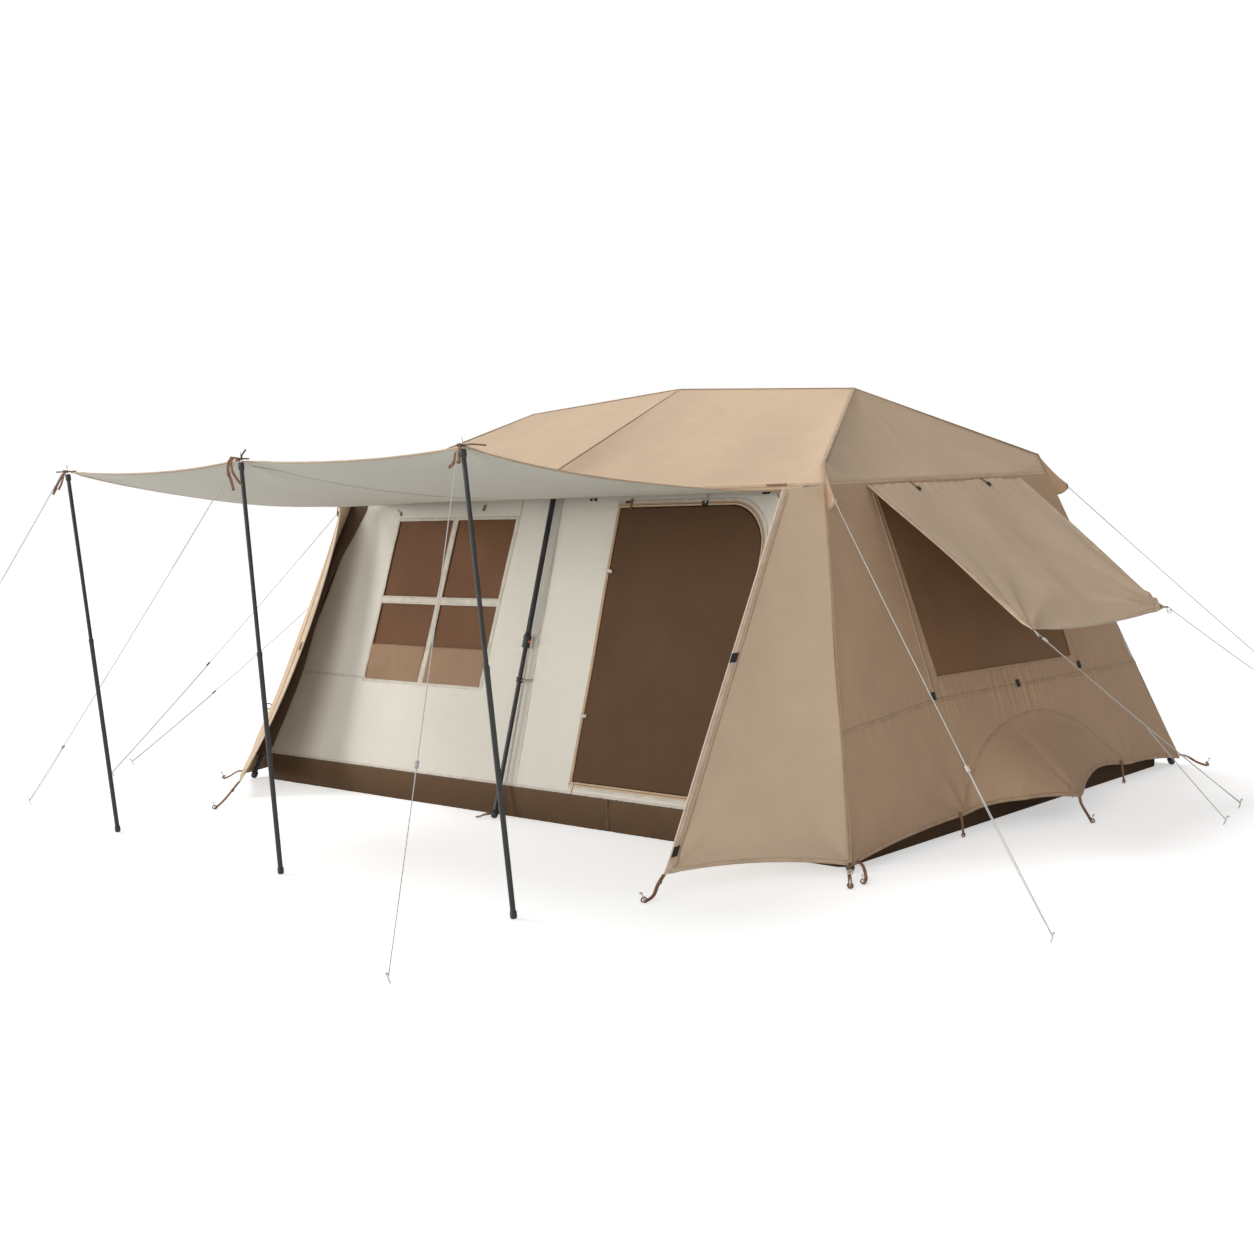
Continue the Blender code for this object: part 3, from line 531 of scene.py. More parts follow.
def tub_floor():
    """Rings from the sewn top edge down the wall, round the fold and in over the ground to the middle.
    The wall bellies and wrinkles a little; the floor lies flat."""
    rings = []
    for share in np.linspace(1, 0, 15):
        ring = tub_ring(TUB_LEAN * share, TUB_Z * share + 0.0012)
        along = np.arange(len(ring)) / len(ring) * 2 * math.pi
        belly = 0.006 * arch(share) + 0.004 * arch(share) * np.sin(along * 23 + 2 * np.sin(along * 3))
        belly = belly + 0.003 * arch(share) * np.sin(along * 61 + 3 * np.sin(along * 7) + share * 2)
        rings.append(ring + unit(ring * (1, 1, 0)) * belly[:, None])
    for reach in (0.02, 0.06, 0.25, 0.6, 1.0, 1.5, 2.0745):
        rings.append(tub_ring(reach, 0.0012))
    points = np.stack(rings[::-1])
    distance = np.linspace(0, 1, len(points))[:, None] * 2.4
    uv = np.stack(np.broadcast_arrays(np.linspace(0, 14, points.shape[1])[None, :], distance), -1)
    faces = quads(*points.shape[:2], close_columns=True).reshape(-1, 4)
    tub = add_mesh("tub_floor", points, faces, tub_brown, uv, weld=True)
    thicken(tub, 0.001)
    dress(tub, "tent", "tub_cloth", "groundsheet")


tub_floor()


# Cloth shell. These sizes hold for every panel of the fly: the walls lean in at one slope on the long
# sides and at another on the ends, from the hem up to the eave seam, and the roof carries on from there.
BASE_X, BASE_Y = 2.165, 1.51
EAVE_X, EAVE_Y, EAVE_Z = 1.668, 0.945, 1.70
HUB_X, HUB_Z, RIDGE_Z = 1.17, 2.07, 2.142
HEM_Z, SEAM_Z = 0.035, 1.60
LEAN_X = (BASE_X - EAVE_X) / (EAVE_Z - HEM_Z)
LEAN_Y = (BASE_Y - EAVE_Y) / (EAVE_Z - HEM_Z)
MID_BULGE = 0.080
CLOTH_THICK = 0.0014


def shell_x(z):
    """Half the shell's width at the height z."""
    return BASE_X - (z - HEM_Z) * LEAN_X


def shell_y(z):
    """Half the shell's depth at its corners at the height z."""
    return BASE_Y - (z - HEM_Z) * LEAN_Y


def spread(breaks, counts):
    """Splits each stretch between neighbouring breaks, on the last axis, into that many equal steps.
    Returns the places and the stretch that each step lies in."""
    breaks = np.asarray(breaks, float)
    steps = [np.arange(count) / count for count in counts]
    places = [between(breaks[..., i:i + 1], breaks[..., i + 1:i + 2], step) for i, step in enumerate(steps)]
    return np.concatenate([*places, breaks[..., -1:]], axis=-1), np.repeat(np.arange(len(counts)), counts)


def rays(a, b, at, folds, reach, deep, start=0.0):
    """Creases that fan out of a pulled point: a sine of the angle round it, dying away with distance."""
    far = np.hypot(a - at[0], b - at[1])
    turn = np.arctan2(b - at[1], a - at[0])
    return deep * np.sin(folds * turn + start) * np.exp(-far / reach) * ease(far, 0, 0.06)


def slack(a, b, deep, size):
    """The loose lie of a hung cloth: a few long waves that cross each other."""
    a, b = a / size, b / size
    waves = np.sin(5.1 * a + 1.7 * np.sin(2.3 * b) + 0.4) + 0.7 * np.sin(3.3 * b - 2.2 * a + 1.9)
    return deep * (waves + 0.5 * np.sin(11.3 * a + 4.1 * b + 2 * np.sin(3.7 * a)))


def panel(
    name, points, finishes, uv, slot, node=None, body="tent",
    keep=True, thick=CLOTH_THICK, lining=None,
):
    """A cloth panel from a grid of points, less the faces that keep leaves out, with its thickness. uv is
    its two coordinates."""
    faces = quads(*points.shape[:2])
    faces = faces[np.broadcast_to(keep, faces.shape[:2])]
    piece = add_mesh(name, points, faces, finishes, np.stack(np.broadcast_arrays(*uv), axis=-1))
    thicken(piece, thick, lining)
    dress(piece, body, slot, *([node] if node else []))


def tape(name, surface, path, wide, finish, thick, lift, count, face=1):
    """A flat tape sewn along a line on a surface, from (a, b) places there. It follows the surface across
    its width too. UV is metres along it and its share of the width, -0.5 to 0.5."""
    line = evenly(path, count)
    ahead = unit(np.gradient(line, axis=0))
    side = np.stack([-ahead[:, 1], ahead[:, 0]], axis=-1)
    form = np.array([(-0.5, -0.6), (0.5, -0.6), (0.5, 0.5), (0.44, 1), (-0.44, 1), (-0.5, 0.5)])
    place = line[:, None] + side[:, None] * (form[:, :1] * wide)
    steps = ((0, 0), (0.002, 0), (0, 0.002))
    middle, along, over = (surface(line[:, 0] + step_a, line[:, 1] + step_b) for step_a, step_b in steps)
    normal = unit(np.cross(along - middle, over - middle)) * face
    points = surface(place[..., 0], place[..., 1]) + normal[:, None] * (form[:, 1:] * thick + lift)
    centres = np.broadcast_to(points.mean(axis=1, keepdims=True), points.shape)
    points = np.concatenate([centres[:1], points, centres[-1:]])
    uv = np.stack(np.broadcast_arrays(run_along(points[:, 0])[:, None], form[None, :, 0]), axis=-1)
    faces = quads(*points.shape[:2], close_columns=True).reshape(-1, 4)[:, ::face]
    return add_mesh(name, points, faces, finish, uv, weld=True, crisp=60)


def stitching(along, off, long):
    """A dashed row near each edge of a tape, from the metres along it and the share off its middle."""
    return (1 - abs(off - 0.36).above(0.03, 0.06)) * along.waves(long).above(-0.4, 0.0)


def webbing(name, colour, stitch, rib=0.0011):
    """Folded binding tape: ribs across it and a row of stitches near each edge."""
    material, shader, where, uv = start_finish(name, 0.8, Sheen_Weight=0.1)
    along = uv.split("X")
    thread = stitching(along, abs(uv.split("Y")), 0.0065)
    worn = where.noise(18, 4).above(0.3, 0.7).tint(shade(colour, 0.88), shade(colour, 1.08))
    feed(shader, Base_Color=thread.tint(worn, stitch))
    feed(shader, Normal=(along.waves(rib) * 0.4 + thread * 2).bump(0.0004, 0.6))
    return material


tan_fly = cloth_finish("tan_fly", (0.663, 0.500, 0.348), grime=0.06)
# painted_shade_fly is the tan fly cloth with shade painted in: a darker copy of tan_fly for the end walls and
# corner tabs, which face away from the lamps.
painted_shade_fly = cloth_finish("painted_shade_fly", (0.528, 0.358, 0.229), grime=0.08)
tan_tape = webbing("tan_tape", (0.476, 0.328, 0.202), (0.592, 0.428, 0.272))
cream_tape = webbing("cream_tape", (0.620, 0.559, 0.465), (0.50, 0.42, 0.32))


# Frame. Six telescoping legs of black powder-coated steel stand in the corners and at the middle of the
# long sides. Each has a knuckle at the eave, a lock collar with an orange button, and a moulded foot.
LEG_INSET = 0.036
KNUCKLE_Z, MID_KNUCKLE_Z = 1.648, 1.656
MID_FOOT_Y, MID_TOP_Y = 1.527, 0.986
LEG_R, LEG_INNER_R, COLLAR_R, KNUCKLE_R, FOOT_R = 0.0140, 0.0115, 0.021, 0.025, 0.019
COLLAR_LOW, COLLAR_LONG = 0.870, 0.062
KNUCKLE_HALF, FOOT_LIFT, FOOT_LONG, LEG_LAP = 0.034, 0.0045, 0.040, 0.14
BUTTON_R, BUTTON_BASE, BUTTON_FACE = 0.0065, 0.0185, 0.0255
SIDES, ENDS = (("left", -1), ("right", 1)), (("front", -1), ("back", 1))


def coated_steel(name):
    """Black powder coat on steel tube: fine orange peel, thin lengthwise scuffs and greyer rubbed spots."""
    material, shader, where, uv = start_finish(name, 0.36, Specular_IOR_Level=0.5)
    peel = where.noise(520, 2)
    scuff = uv.noise(40, 4, stretch=(60, 1, 1)).above(0.62, 0.74)
    rubbed = where.noise(6, 5).above(0.55, 0.8)
    bare = (scuff * 0.35 + rubbed * 0.4).tint((0.014, 0.014, 0.015), (0.075, 0.073, 0.072))
    feed(shader, Base_Color=bare, Roughness=rubbed * 0.14 + scuff * 0.1 + 0.32)
    feed(shader, Normal=peel.bump(0.0002, 0.3))
    return material


black_pole = coated_steel("black_pole")
orange_button = moulded("orange_button", (0.60, 0.085, 0.030), 0.38)


def lathe(name, profile, start, end, finish, sides=28):
    """A turned piece: (height, radius) pairs that run from start towards end, closed at both ends."""
    start = np.array(start, float)
    way = unit(np.array(end, float) - start)
    across = unit(np.cross((0, 0, 1.0) if abs(way[2]) < 0.99 else (0, 1.0, 0), way))
    circle = round_section(sides)
    rim = circle[:, :1] * across + circle[:, 1:] * np.cross(way, across)
    closed = np.array([(profile[0][0], 0), *profile, (profile[-1][0], 0)], float)
    height, radius = closed[:, :1, None], closed[:, 1:, None]
    points = start + way * height + rim * radius
    uv = np.stack(np.broadcast_arrays(np.arange(sides)[None, :] * 0.003, height[:, :, 0]), axis=-1)
    faces = quads(*points.shape[:2], close_columns=True).reshape(-1, 4)
    return add_mesh(name, points, faces, finish, uv, weld=True, crisp=38)


def rim_of(height, radius, edge=0.0012, up=1):
    """Two points that round off the upper or, with up at -1, the lower edge of a turned piece."""
    return [(height - up * edge, radius), (height, radius - edge)][::up]


def leg_ends():
    """The foot and the knuckle's middle of each of the six legs, by name."""
    ends = {}
    for x_name, side in SIDES:
        for y_name, end in ENDS:
            foot, knuckle = (
                np.array((side * (shell_x(z) - LEG_INSET), end * (shell_y(z) - LEG_INSET), z))
                for z in (FOOT_LIFT, KNUCKLE_Z)
            )
            ends[f"{y_name}_{x_name}"] = foot, knuckle
    for y_name, end in ENDS:
        foot, knuckle = (0, end * MID_FOOT_Y, FOOT_LIFT), (0, end * MID_TOP_Y, MID_KNUCKLE_Z)
        ends[f"{y_name}_middle"] = np.array(foot), np.array(knuckle)
    return ends


def leg(name, foot, knuckle):
    """One leg: the upper tube in its knuckle and collar, the lower tube in its foot, and the button."""
    long = np.linalg.norm(knuckle - foot)
    neck, shoulder, top = long - KNUCKLE_HALF, long + KNUCKLE_HALF, COLLAR_LOW + COLLAR_LONG
    tube = [*rim_of(COLLAR_LOW + 0.004, LEG_R, up=-1), (neck + 0.01, LEG_R)]
    cap = [
        *rim_of(neck - 0.012, KNUCKLE_R * 0.78, 0.002, -1), (neck, KNUCKLE_R * 0.8),
        *rim_of(neck, KNUCKLE_R, 0.002, -1), (long - 0.006, KNUCKLE_R), (long - 0.004, KNUCKLE_R * 0.9),
        (long + 0.004, KNUCKLE_R * 0.9), (long + 0.006, KNUCKLE_R), *rim_of(shoulder, KNUCKLE_R, 0.005),
    ]
    collar = [
        *rim_of(COLLAR_LOW, COLLAR_R, 0.0015, -1), (COLLAR_LOW + 0.012, COLLAR_R),
        (COLLAR_LOW + 0.0135, COLLAR_R - 0.0015), (top - 0.0135, COLLAR_R - 0.0015), (top - 0.012, COLLAR_R),
        *rim_of(top - 0.002, COLLAR_R, 0.002), (top + 0.012, LEG_R + 0.001),
    ]
    lower = [(FOOT_LONG - 0.01, LEG_INNER_R), *rim_of(COLLAR_LOW + LEG_LAP, LEG_INNER_R)]
    shoe = [
        (0, 0.008), (0.003, 0.0125), (0.009, 0.0172), (0.014, FOOT_R), (0.030, FOOT_R),
        (0.032, FOOT_R - 0.0012), (0.034, FOOT_R), *rim_of(FOOT_LONG, FOOT_R - 0.001, 0.002),
    ]
    for part, form, finish, body, slot in (
        ("leg_upper", tube, black_pole, "tent", "pole_metal"),
        ("knuckle", cap, black_moulding, "tent", "black_plastic"),
        ("lock_collar", collar, black_moulding, "tent", "black_plastic"),
        ("leg_lower", lower, black_pole, f"leg_{name}", "pole_metal"),
        ("leg_foot", shoe, black_moulding, f"leg_{name}", "black_plastic"),
    ):
        stands_for = [f"{part}_{name}"] if part in ("leg_upper", "leg_lower") else []
        dress(lathe(f"{part}_{name}", form, foot, knuckle, finish), body, slot, *stands_for)
    way = unit(knuckle - foot)
    middle = foot + way * (COLLAR_LOW + COLLAR_LONG / 2)
    outward = unit(np.cross((0, 0, 1.0), way))
    dome = [
        (BUTTON_BASE, BUTTON_R), (BUTTON_FACE - 0.0022, BUTTON_R), (BUTTON_FACE - 0.0008, BUTTON_R * 0.86),
        (BUTTON_FACE, BUTTON_R * 0.5),
    ]
    button = lathe(f"lock_button_{name}", dome, middle, middle - outward, orange_button, 20)
    dress(button, f"button_{name}", "button_plastic", f"lock_button_{name}")


legs = leg_ends()
for leg_name, (foot, knuckle) in legs.items():
    leg(leg_name, foot, knuckle)


# Roof frame. A moulded hub under each end of the ridge and a joint in its middle hold the pivoting roof
# poles, which run down to the six knuckles, and the two halves of the ridge pole.
ROOF_POLE_R, HUB_R, HUB_HIGH, HUB_DROP, RIDGE_DROP = 0.0125, 0.058, 0.046, 0.078, 0.086
HUB_CENTRES = {
    "left": np.array((-HUB_X, 0, HUB_Z - HUB_DROP)),
    "right": np.array((HUB_X, 0, HUB_Z - HUB_DROP)),
    "middle": np.array((0, 0, RIDGE_Z - RIDGE_DROP)),
}


def clear_of(radius, axis, way):
    """How far along its way a roof pole starts, to meet a round joint of that radius and axis."""
    lean = abs(float(unit(axis) @ way))
    return (radius + ROOF_POLE_R * lean) / math.sqrt(1 - lean**2) + 0.0006


def roof_pole(name, start, end):
    """A straight tube with a pressed plastic end at each end."""
    long = np.linalg.norm(end - start)
    pressed = ((0, 0.9), (0.001, 1), (0.03, 1), (0.031, 0.93))
    form = [(height, ROOF_POLE_R * share) for height, share in pressed]
    form += [(long - height, ROOF_POLE_R * share) for height, share in pressed[::-1]]
    dress(lathe(name, form, start, end, black_pole, 20), "tent", "pole_metal", name)


def hub(name, centre):
    """A ribbed disc with a domed cap and a rim."""
    low = centre - np.array((0, 0, HUB_HIGH / 2))
    form = [
        (0, HUB_R - 0.006), (0.003, HUB_R - 0.001), (0.006, HUB_R), (0.016, HUB_R), (0.018, HUB_R - 0.003),
        (0.022, HUB_R - 0.003), (0.024, HUB_R), (0.031, HUB_R), (0.034, HUB_R - 0.003), (0.040, HUB_R * 0.72),
        (0.045, HUB_R * 0.5), (0.046, HUB_R * 0.2),
    ]
    dress(lathe(name, form, low, centre, black_moulding, 40), "tent", "black_plastic", name)


for hub_name, centre in (("hub_left", "left"), ("hub_right", "right"), ("ridge_joint", "middle")):
    hub(hub_name, HUB_CENTRES[centre])
for leg_name, (foot, knuckle) in legs.items():
    centre = HUB_CENTRES[leg_name.split("_")[1]]
    way = unit(knuckle - centre)
    first = centre + way * clear_of(HUB_R, np.array((0, 0, 1.0)), way)
    roof_pole(f"roof_pole_{leg_name}", first, knuckle - way * clear_of(KNUCKLE_R, knuckle - foot, way))
for side_name in ("left", "right"):
    way = unit(HUB_CENTRES["middle"] - HUB_CENTRES[side_name])
    gap = way * clear_of(HUB_R, np.array((0, 0, 1.0)), way)
    roof_pole(f"ridge_pole_{side_name}", HUB_CENTRES[side_name] + gap, HUB_CENTRES["middle"] - gap)


# Canopy poles. Three two-piece poles prop the porch canopy. The upper tube ends in a spike that passes
# through a canopy eyelet; the lower, wider tube ends in a rubber foot and slides up over the upper one.
POLE_FEET = {
    "left": (-1.417, -2.781, 0.0012), "middle": (0.085, -2.861, 0.0012), "right": (1.505, -2.795, 0.0012),
}
POLE_HEADS = {
    "left": (-1.459, -2.897, 1.797), "middle": (0.069, -2.929, 1.799), "right": (1.459, -2.897, 1.797),
}
POLE_R, POLE_INNER_R, POLE_SPLIT, POLE_LAP = 0.0110, 0.0092, 0.98, 0.12
SPIKE_R, SPIKE_LONG = 0.0028, 0.040


def canopy_pole(name):
    """One pole from its foot to its head: the lower tube in its foot, the upper tube and its spike."""
    foot, head = POLE_FEET[name], POLE_HEADS[name]
    long = np.linalg.norm(np.array(head) - foot)
    wide = POLE_INNER_R * 1.12
    upper = [
        (POLE_SPLIT - POLE_LAP, POLE_INNER_R), (long - 0.030, POLE_INNER_R), (long - 0.029, wide),
        (long - 0.016, wide), (long - 0.014, POLE_INNER_R * 0.7), (long - 0.004, SPIKE_R * 1.6),
    ]
    tip = long + SPIKE_LONG
    spike = [(long - 0.006, SPIKE_R), (tip - 0.004, SPIKE_R), (tip, SPIKE_R * 0.4)]
    lower = [
        (0.028, POLE_R), (POLE_SPLIT - 0.022, POLE_R), (POLE_SPLIT - 0.020, POLE_R * 1.10),
        *rim_of(POLE_SPLIT, POLE_R * 1.10),
    ]
    shoe = [
        (0, POLE_R - 0.001), (0.003, POLE_R + 0.0018), (0.006, POLE_R + 0.003), (0.026, POLE_R + 0.003),
        (0.030, POLE_R + 0.001),
    ]
    for part, form, finish, sides, body, slot in (
        ("upper", upper, black_pole, 24, "tent", "pole_metal"),
        ("lower", lower, black_pole, 24, f"pole_{name}", "pole_metal"),
        ("spike", spike, peg_steel, 12, "tent", "peg_metal"),
        ("foot", shoe, black_moulding, 24, f"pole_{name}", "black_plastic"),
    ):
        piece_name = f"canopy_pole_{part}_{name}"
        stands_for = [piece_name] if part in ("upper", "lower") else []
        dress(lathe(piece_name, form, foot, head, finish, sides), body, slot, *stands_for)


for pole_name in POLE_FEET:
    canopy_pole(pole_name)


# Front wall. A flat cream cotton wall set back under the porch, sewn to the tub at its foot. It has a
# window of four lights left of the middle leg and a D-shaped door right of it.
WALL_FOOT_Y, WALL_RISE, WALL_RUN = 1.487, 0.951592, 0.307364
WALL_LOW, WALL_HIGH = 0.1642, 1.673
WALL_HALF_LOW, WALL_HALF_HIGH = 2.039, 1.6235
WINDOW_LEFT, WINDOW_RIGHT, WINDOW_LOW, WINDOW_HIGH = -1.263, -0.309, 0.646, 1.549
WINDOW_BAR, WINDOW_SKEW = 0.042, 0.044
WINDOW_MID_X, WINDOW_MID_H = (WINDOW_LEFT + WINDOW_RIGHT) / 2, (WINDOW_LOW + WINDOW_HIGH) / 2
DOOR_LEFT, DOOR_RIGHT, DOOR_LOW, DOOR_HIGH = 0.448, 1.385, 0.223, 1.598
DOOR_TOP_ROUND, DOOR_LOW_ROUND = 0.22, 0.14


def skewed(x, h):
    """Moves x with its height in the window, because the window leans with the wall's side."""
    return x + WINDOW_SKEW * (h - WINDOW_MID_H) / (WINDOW_HIGH - WINDOW_LOW)


def door_edge(h, inset=0.0):
    """The door's curved free side at the height h: a large round above, a small one below."""
    low, high, right = DOOR_LOW + inset, DOOR_HIGH - inset, DOOR_RIGHT - inset
    top, foot = DOOR_TOP_ROUND, DOOR_LOW_ROUND
    above = np.clip(h - (high - top), 0, top)
    under = np.clip((low + foot) - h, 0, foot)
    return right - (top - np.sqrt(top**2 - above**2)) - (foot - np.sqrt(foot**2 - under**2))


def wall_lie(x, h):
    """How far the cream cloth stands off its plane: slack between the seams, with creases at the window's
    corners, under the eave and where the middle leg's ties pull it."""
    free = ease(h, WALL_LOW, 0.45) * ease(WALL_HIGH - h, 0, 0.25)
    lie = slack(x, h, 0.0022, 0.55) * free
    for place, level in ((WINDOW_LEFT, WINDOW_LOW), (WINDOW_RIGHT, WINDOW_LOW), (WINDOW_LEFT, WINDOW_HIGH)):
        lie = lie + rays(x, h, (skewed(place, level), level), 5, 0.10, 0.0035)
    lie = lie + rays(x, h, (0.0, 0.86), 9, 0.16, 0.004) + rays(x, h, (DOOR_LEFT, DOOR_HIGH), 6, 0.12, 0.003)
    gather = 0.0020 * np.sin(x * 2 * math.pi / 0.085 + 3 * np.sin(x * 5)) * np.exp(-(h - WALL_LOW) / 0.07)
    return lie + gather


def wall_point(x, h, out=0.0):
    """A point of the front wall: x along it, h up its slope from the ground, out in front of its face."""
    off = wall_lie(x, h) + out
    return spots(x, -WALL_FOOT_Y + WALL_RUN * h - WALL_RISE * off, WALL_RISE * h + WALL_RUN * off)


def wall_rows():
    """Heights of the wall's rows. They close up along the door's two rounds."""
    low_round = DOOR_LOW + DOOR_LOW_ROUND * (1 - np.cos(np.linspace(0, math.pi / 2, 9)))
    window_top = math.asin((WINDOW_HIGH - DOOR_HIGH + DOOR_TOP_ROUND) / DOOR_TOP_ROUND)
    swing, _ = spread([0, window_top, math.pi / 2], (8, 7))
    top_round = DOOR_HIGH - DOOR_TOP_ROUND * (1 - np.sin(swing))
    bar_low, bar_high = WINDOW_MID_H - WINDOW_BAR / 2, WINDOW_MID_H + WINDOW_BAR / 2
    middle, _ = spread([low_round[-1], WINDOW_LOW, bar_low, bar_high, top_round[0]], (14, 24, 3, 14))
    foot, head = np.linspace(WALL_LOW, DOOR_LOW, 5)[:-1], np.linspace(DOOR_HIGH, WALL_HIGH, 6)[1:]
    return np.concatenate([foot, low_round[:-1], middle[:-1], top_round, head])


def front_wall():
    """One sheet whose grid lines run along every opening, so that dropping faces opens it."""
    h = wall_rows()
    half = between(WALL_HALF_LOW, WALL_HALF_HIGH, (h - WALL_LOW) / (WALL_HIGH - WALL_LOW))
    bar = WINDOW_BAR / 2
    window = [skewed(x, h) for x in (WINDOW_LEFT, WINDOW_MID_X - bar, WINDOW_MID_X + bar, WINDOW_RIGHT)]
    door = [np.full_like(h, DOOR_LEFT), door_edge(h)]
    x, stretch = spread(np.stack([-half, *window, *door, half], axis=-1), (40, 26, 3, 26, 42, 50, 16))
    points = wall_point(x, np.broadcast_to(h[:, None], x.shape))
    row = ((h[:-1] + h[1:]) / 2)[:, None]
    light = (row > WINDOW_LOW) & (row < WINDOW_HIGH) & (abs(row - WINDOW_MID_H) > bar)
    light = light & ((stretch == 1) | (stretch == 3))
    doorway = (row > DOOR_LOW) & (row < DOOR_HIGH) & (stretch == 5)
    keep, uv, flat = ~(light | doorway), (x, h[:, None]), (4.10, 1.53)
    panel("front_wall_cloth", points, cream_wall, uv, "wall_cloth", "front_wall", keep=keep)


cream_wall = cloth_finish("cream_wall", (0.690, 0.652, 0.575), 0.008, 0.88, mottle=0.03, grime=0.05)
front_wall()


# Window panes. A sheet of tinted brown film and mesh is sewn behind the four lights. A paler storm flap
# is folded down along the foot of the two lower ones.
PANE_BACK, PANE_LAP = 0.007, 0.02
STORM_TOP, MESH_STEP, MESH_THICK = 0.845, 0.0018, 0.0008


def insect_mesh(name, colour, roughness):
    """Fine knitted mesh: dark yarns with small holes between them, which are painted darker still as painted
    shade for the dark space seen through them.
    """
    material, shader, where, uv = start_finish(name, roughness, Specular_IOR_Level=0.12)
    holes_and_painted_shade = (uv.split("X").waves(MESH_STEP) * uv.split("Y").waves(MESH_STEP)).above(-0.2, 0.8)
    base = where.noise(3.2, 4).above(0.25, 0.75).tint(shade(colour, 0.92), shade(colour, 1.06))
    # Painted shade: the holes take a darker colour for the shade seen through them.
    feed(shader, Base_Color=(holes_and_painted_shade * 0.35).tint(base, shade(colour, 0.45)))
    feed(shader, Normal=holes_and_painted_shade.bump(0.0003, 0.4, where.noise(5, 4).bump(0.006, 0.5)))
    return material


pane_brown = insect_mesh("pane_brown", (0.159, 0.073, 0.032), 0.5)
storm_brown = insect_mesh("storm_brown", (0.325, 0.205, 0.125), 0.6)


def window_panes():
    """The brown sheet behind the lights, bulging a little in each of them."""
    h = np.linspace(WINDOW_LOW - PANE_LAP, WINDOW_HIGH + PANE_LAP, 50)[:, None]
    left, right = skewed(WINDOW_LEFT - PANE_LAP, h), skewed(WINDOW_RIGHT + PANE_LAP, h)
    x = between(left, right, np.linspace(0, 1, 60)[None, :])
    h = np.broadcast_to(h, x.shape)
    swell = np.sin((x - WINDOW_MID_X) * math.pi / 0.46) * np.sin((h - WINDOW_MID_H) * math.pi / 0.44)
    points = wall_point(x, h, -PANE_BACK - 0.004 * np.abs(swell))
    flat, slot, node = (1.0, 0.945), "brown_mesh", "window_panes"
    panel("window_pane_sheet", points, pane_brown, (x, h), slot, node, thick=MESH_THICK)


def storm_fold(name, left, right):
    """The paler fold along the foot of a lower light, its top edge a doubled hem that juts out a little."""
    h = np.linspace(WINDOW_LOW - 0.006, STORM_TOP, 18)[:, None]
    x = between(skewed(left, h), skewed(right, h), np.linspace(0, 1, 24)[None, :])
    h = np.broadcast_to(h, x.shape)
    out = 0.0015 - 0.004 + 0.005 * ease(h, WINDOW_LOW, STORM_TOP) + 0.0012 * np.sin(x * 70)
    panel(name, wall_point(x, h, out), storm_brown, (x, h), "brown_mesh", thick=0.001)


window_panes()
bar_side = WINDOW_BAR / 2 - 0.002
storm_fold("storm_fold_left", WINDOW_LEFT - 0.016, WINDOW_MID_X - bar_side)
storm_fold("storm_fold_right", WINDOW_MID_X + bar_side, WINDOW_RIGHT + 0.001)


# Door. A brown mesh panel, sewn along its straight left side and zipped round its curved edge. It swings
# in on that seam.
DOOR_GAP, DOOR_HINGE = 0.005, 0.453


def door_panel():
    """The mesh inside the door's outline, hanging in slow folds behind the wall's face. Its rows close up
    towards the foot and the top, by a cosine."""
    long = DOOR_HIGH - DOOR_LOW
    h = DOOR_LOW + DOOR_GAP + (long - 2 * DOOR_GAP) * (1 - np.cos(np.linspace(0, math.pi, 90))) / 2
    left, right = DOOR_HINGE, door_edge(h, DOOR_GAP)
    x = between(left, right[:, None], np.linspace(0, 1, 70)[None, :])
    h = np.broadcast_to(h[:, None], x.shape)
    hang = 0.004 + 0.004 * np.sin((x - left) * 9 + 1.5 * np.sin(h * 3)) * arch((h - DOOR_LOW) / long)
    points = wall_point(x, h, -0.002 - hang * ease(x, left, left + 0.12))
    flat, slot, node = (0.927, 1.365), "brown_mesh", "door_panel"
    panel("door_mesh", points, door_brown, (x, h), slot, node, "door", thick=MESH_THICK)


door_brown = insect_mesh("door_brown", (0.105, 0.056, 0.027), 0.62)
door_panel()


# End walls. Each is sewn from tan ripstop in widths that a long gathered seam joins at knee height. The
# window is in its middle. Below it a half-round vent panel is let in, whose hem is pegged well out.
HEM_STRAPS, HEM_HEIGHTS = (-BASE_Y, -0.60, -0.04, 0.95, BASE_Y), (HEM_Z, 0.090, 0.105, 0.085, HEM_Z)
HEM_LIFTS = (0.016, 0.030, 0.034, 0.012, 0.0)
HEM_LIFT = 0.035
VENT_PULL_X, VENT_PULL_Y, VENT_PULL_Z = 2.41, -0.04, 0.105
VENT_MIDDLE_Y, VENT_HALF, VENT_HIGH = 0.19, 0.78, 0.36
KNEE_SEAM_Y, KNEE_SEAM_Z = (-1.33, -0.588, 0.626, 1.33), (0.553, 0.601, 0.579, 0.567)
END_TOP, END_WINDOW_TOP, PLEAT = 1.5985, 1.54, 0.0075
END_OUT = (1 / math.hypot(1, LEAN_X), LEAN_X / math.hypot(1, LEAN_X))
SILL_Z, WINDOW_BACK = 0.69, 0.682


def hem_height(y):
    """The scalloped hem: straight from strap to strap, with an arch of its own height added between."""
    place = np.interp(y, HEM_STRAPS, range(len(HEM_STRAPS)))
    lift = np.take(HEM_LIFTS, place.astype(int))
    return np.interp(y, HEM_STRAPS, HEM_HEIGHTS) + lift * arch(place % 1)


def window_foot(y):
    """The end window's foot falls a little towards the back."""
    return 0.6903 - 0.0238 * y


def window_front(z):
    """The end window's front edge leans back as it falls."""
    return -0.535 - 0.09 * (z - 0.703)


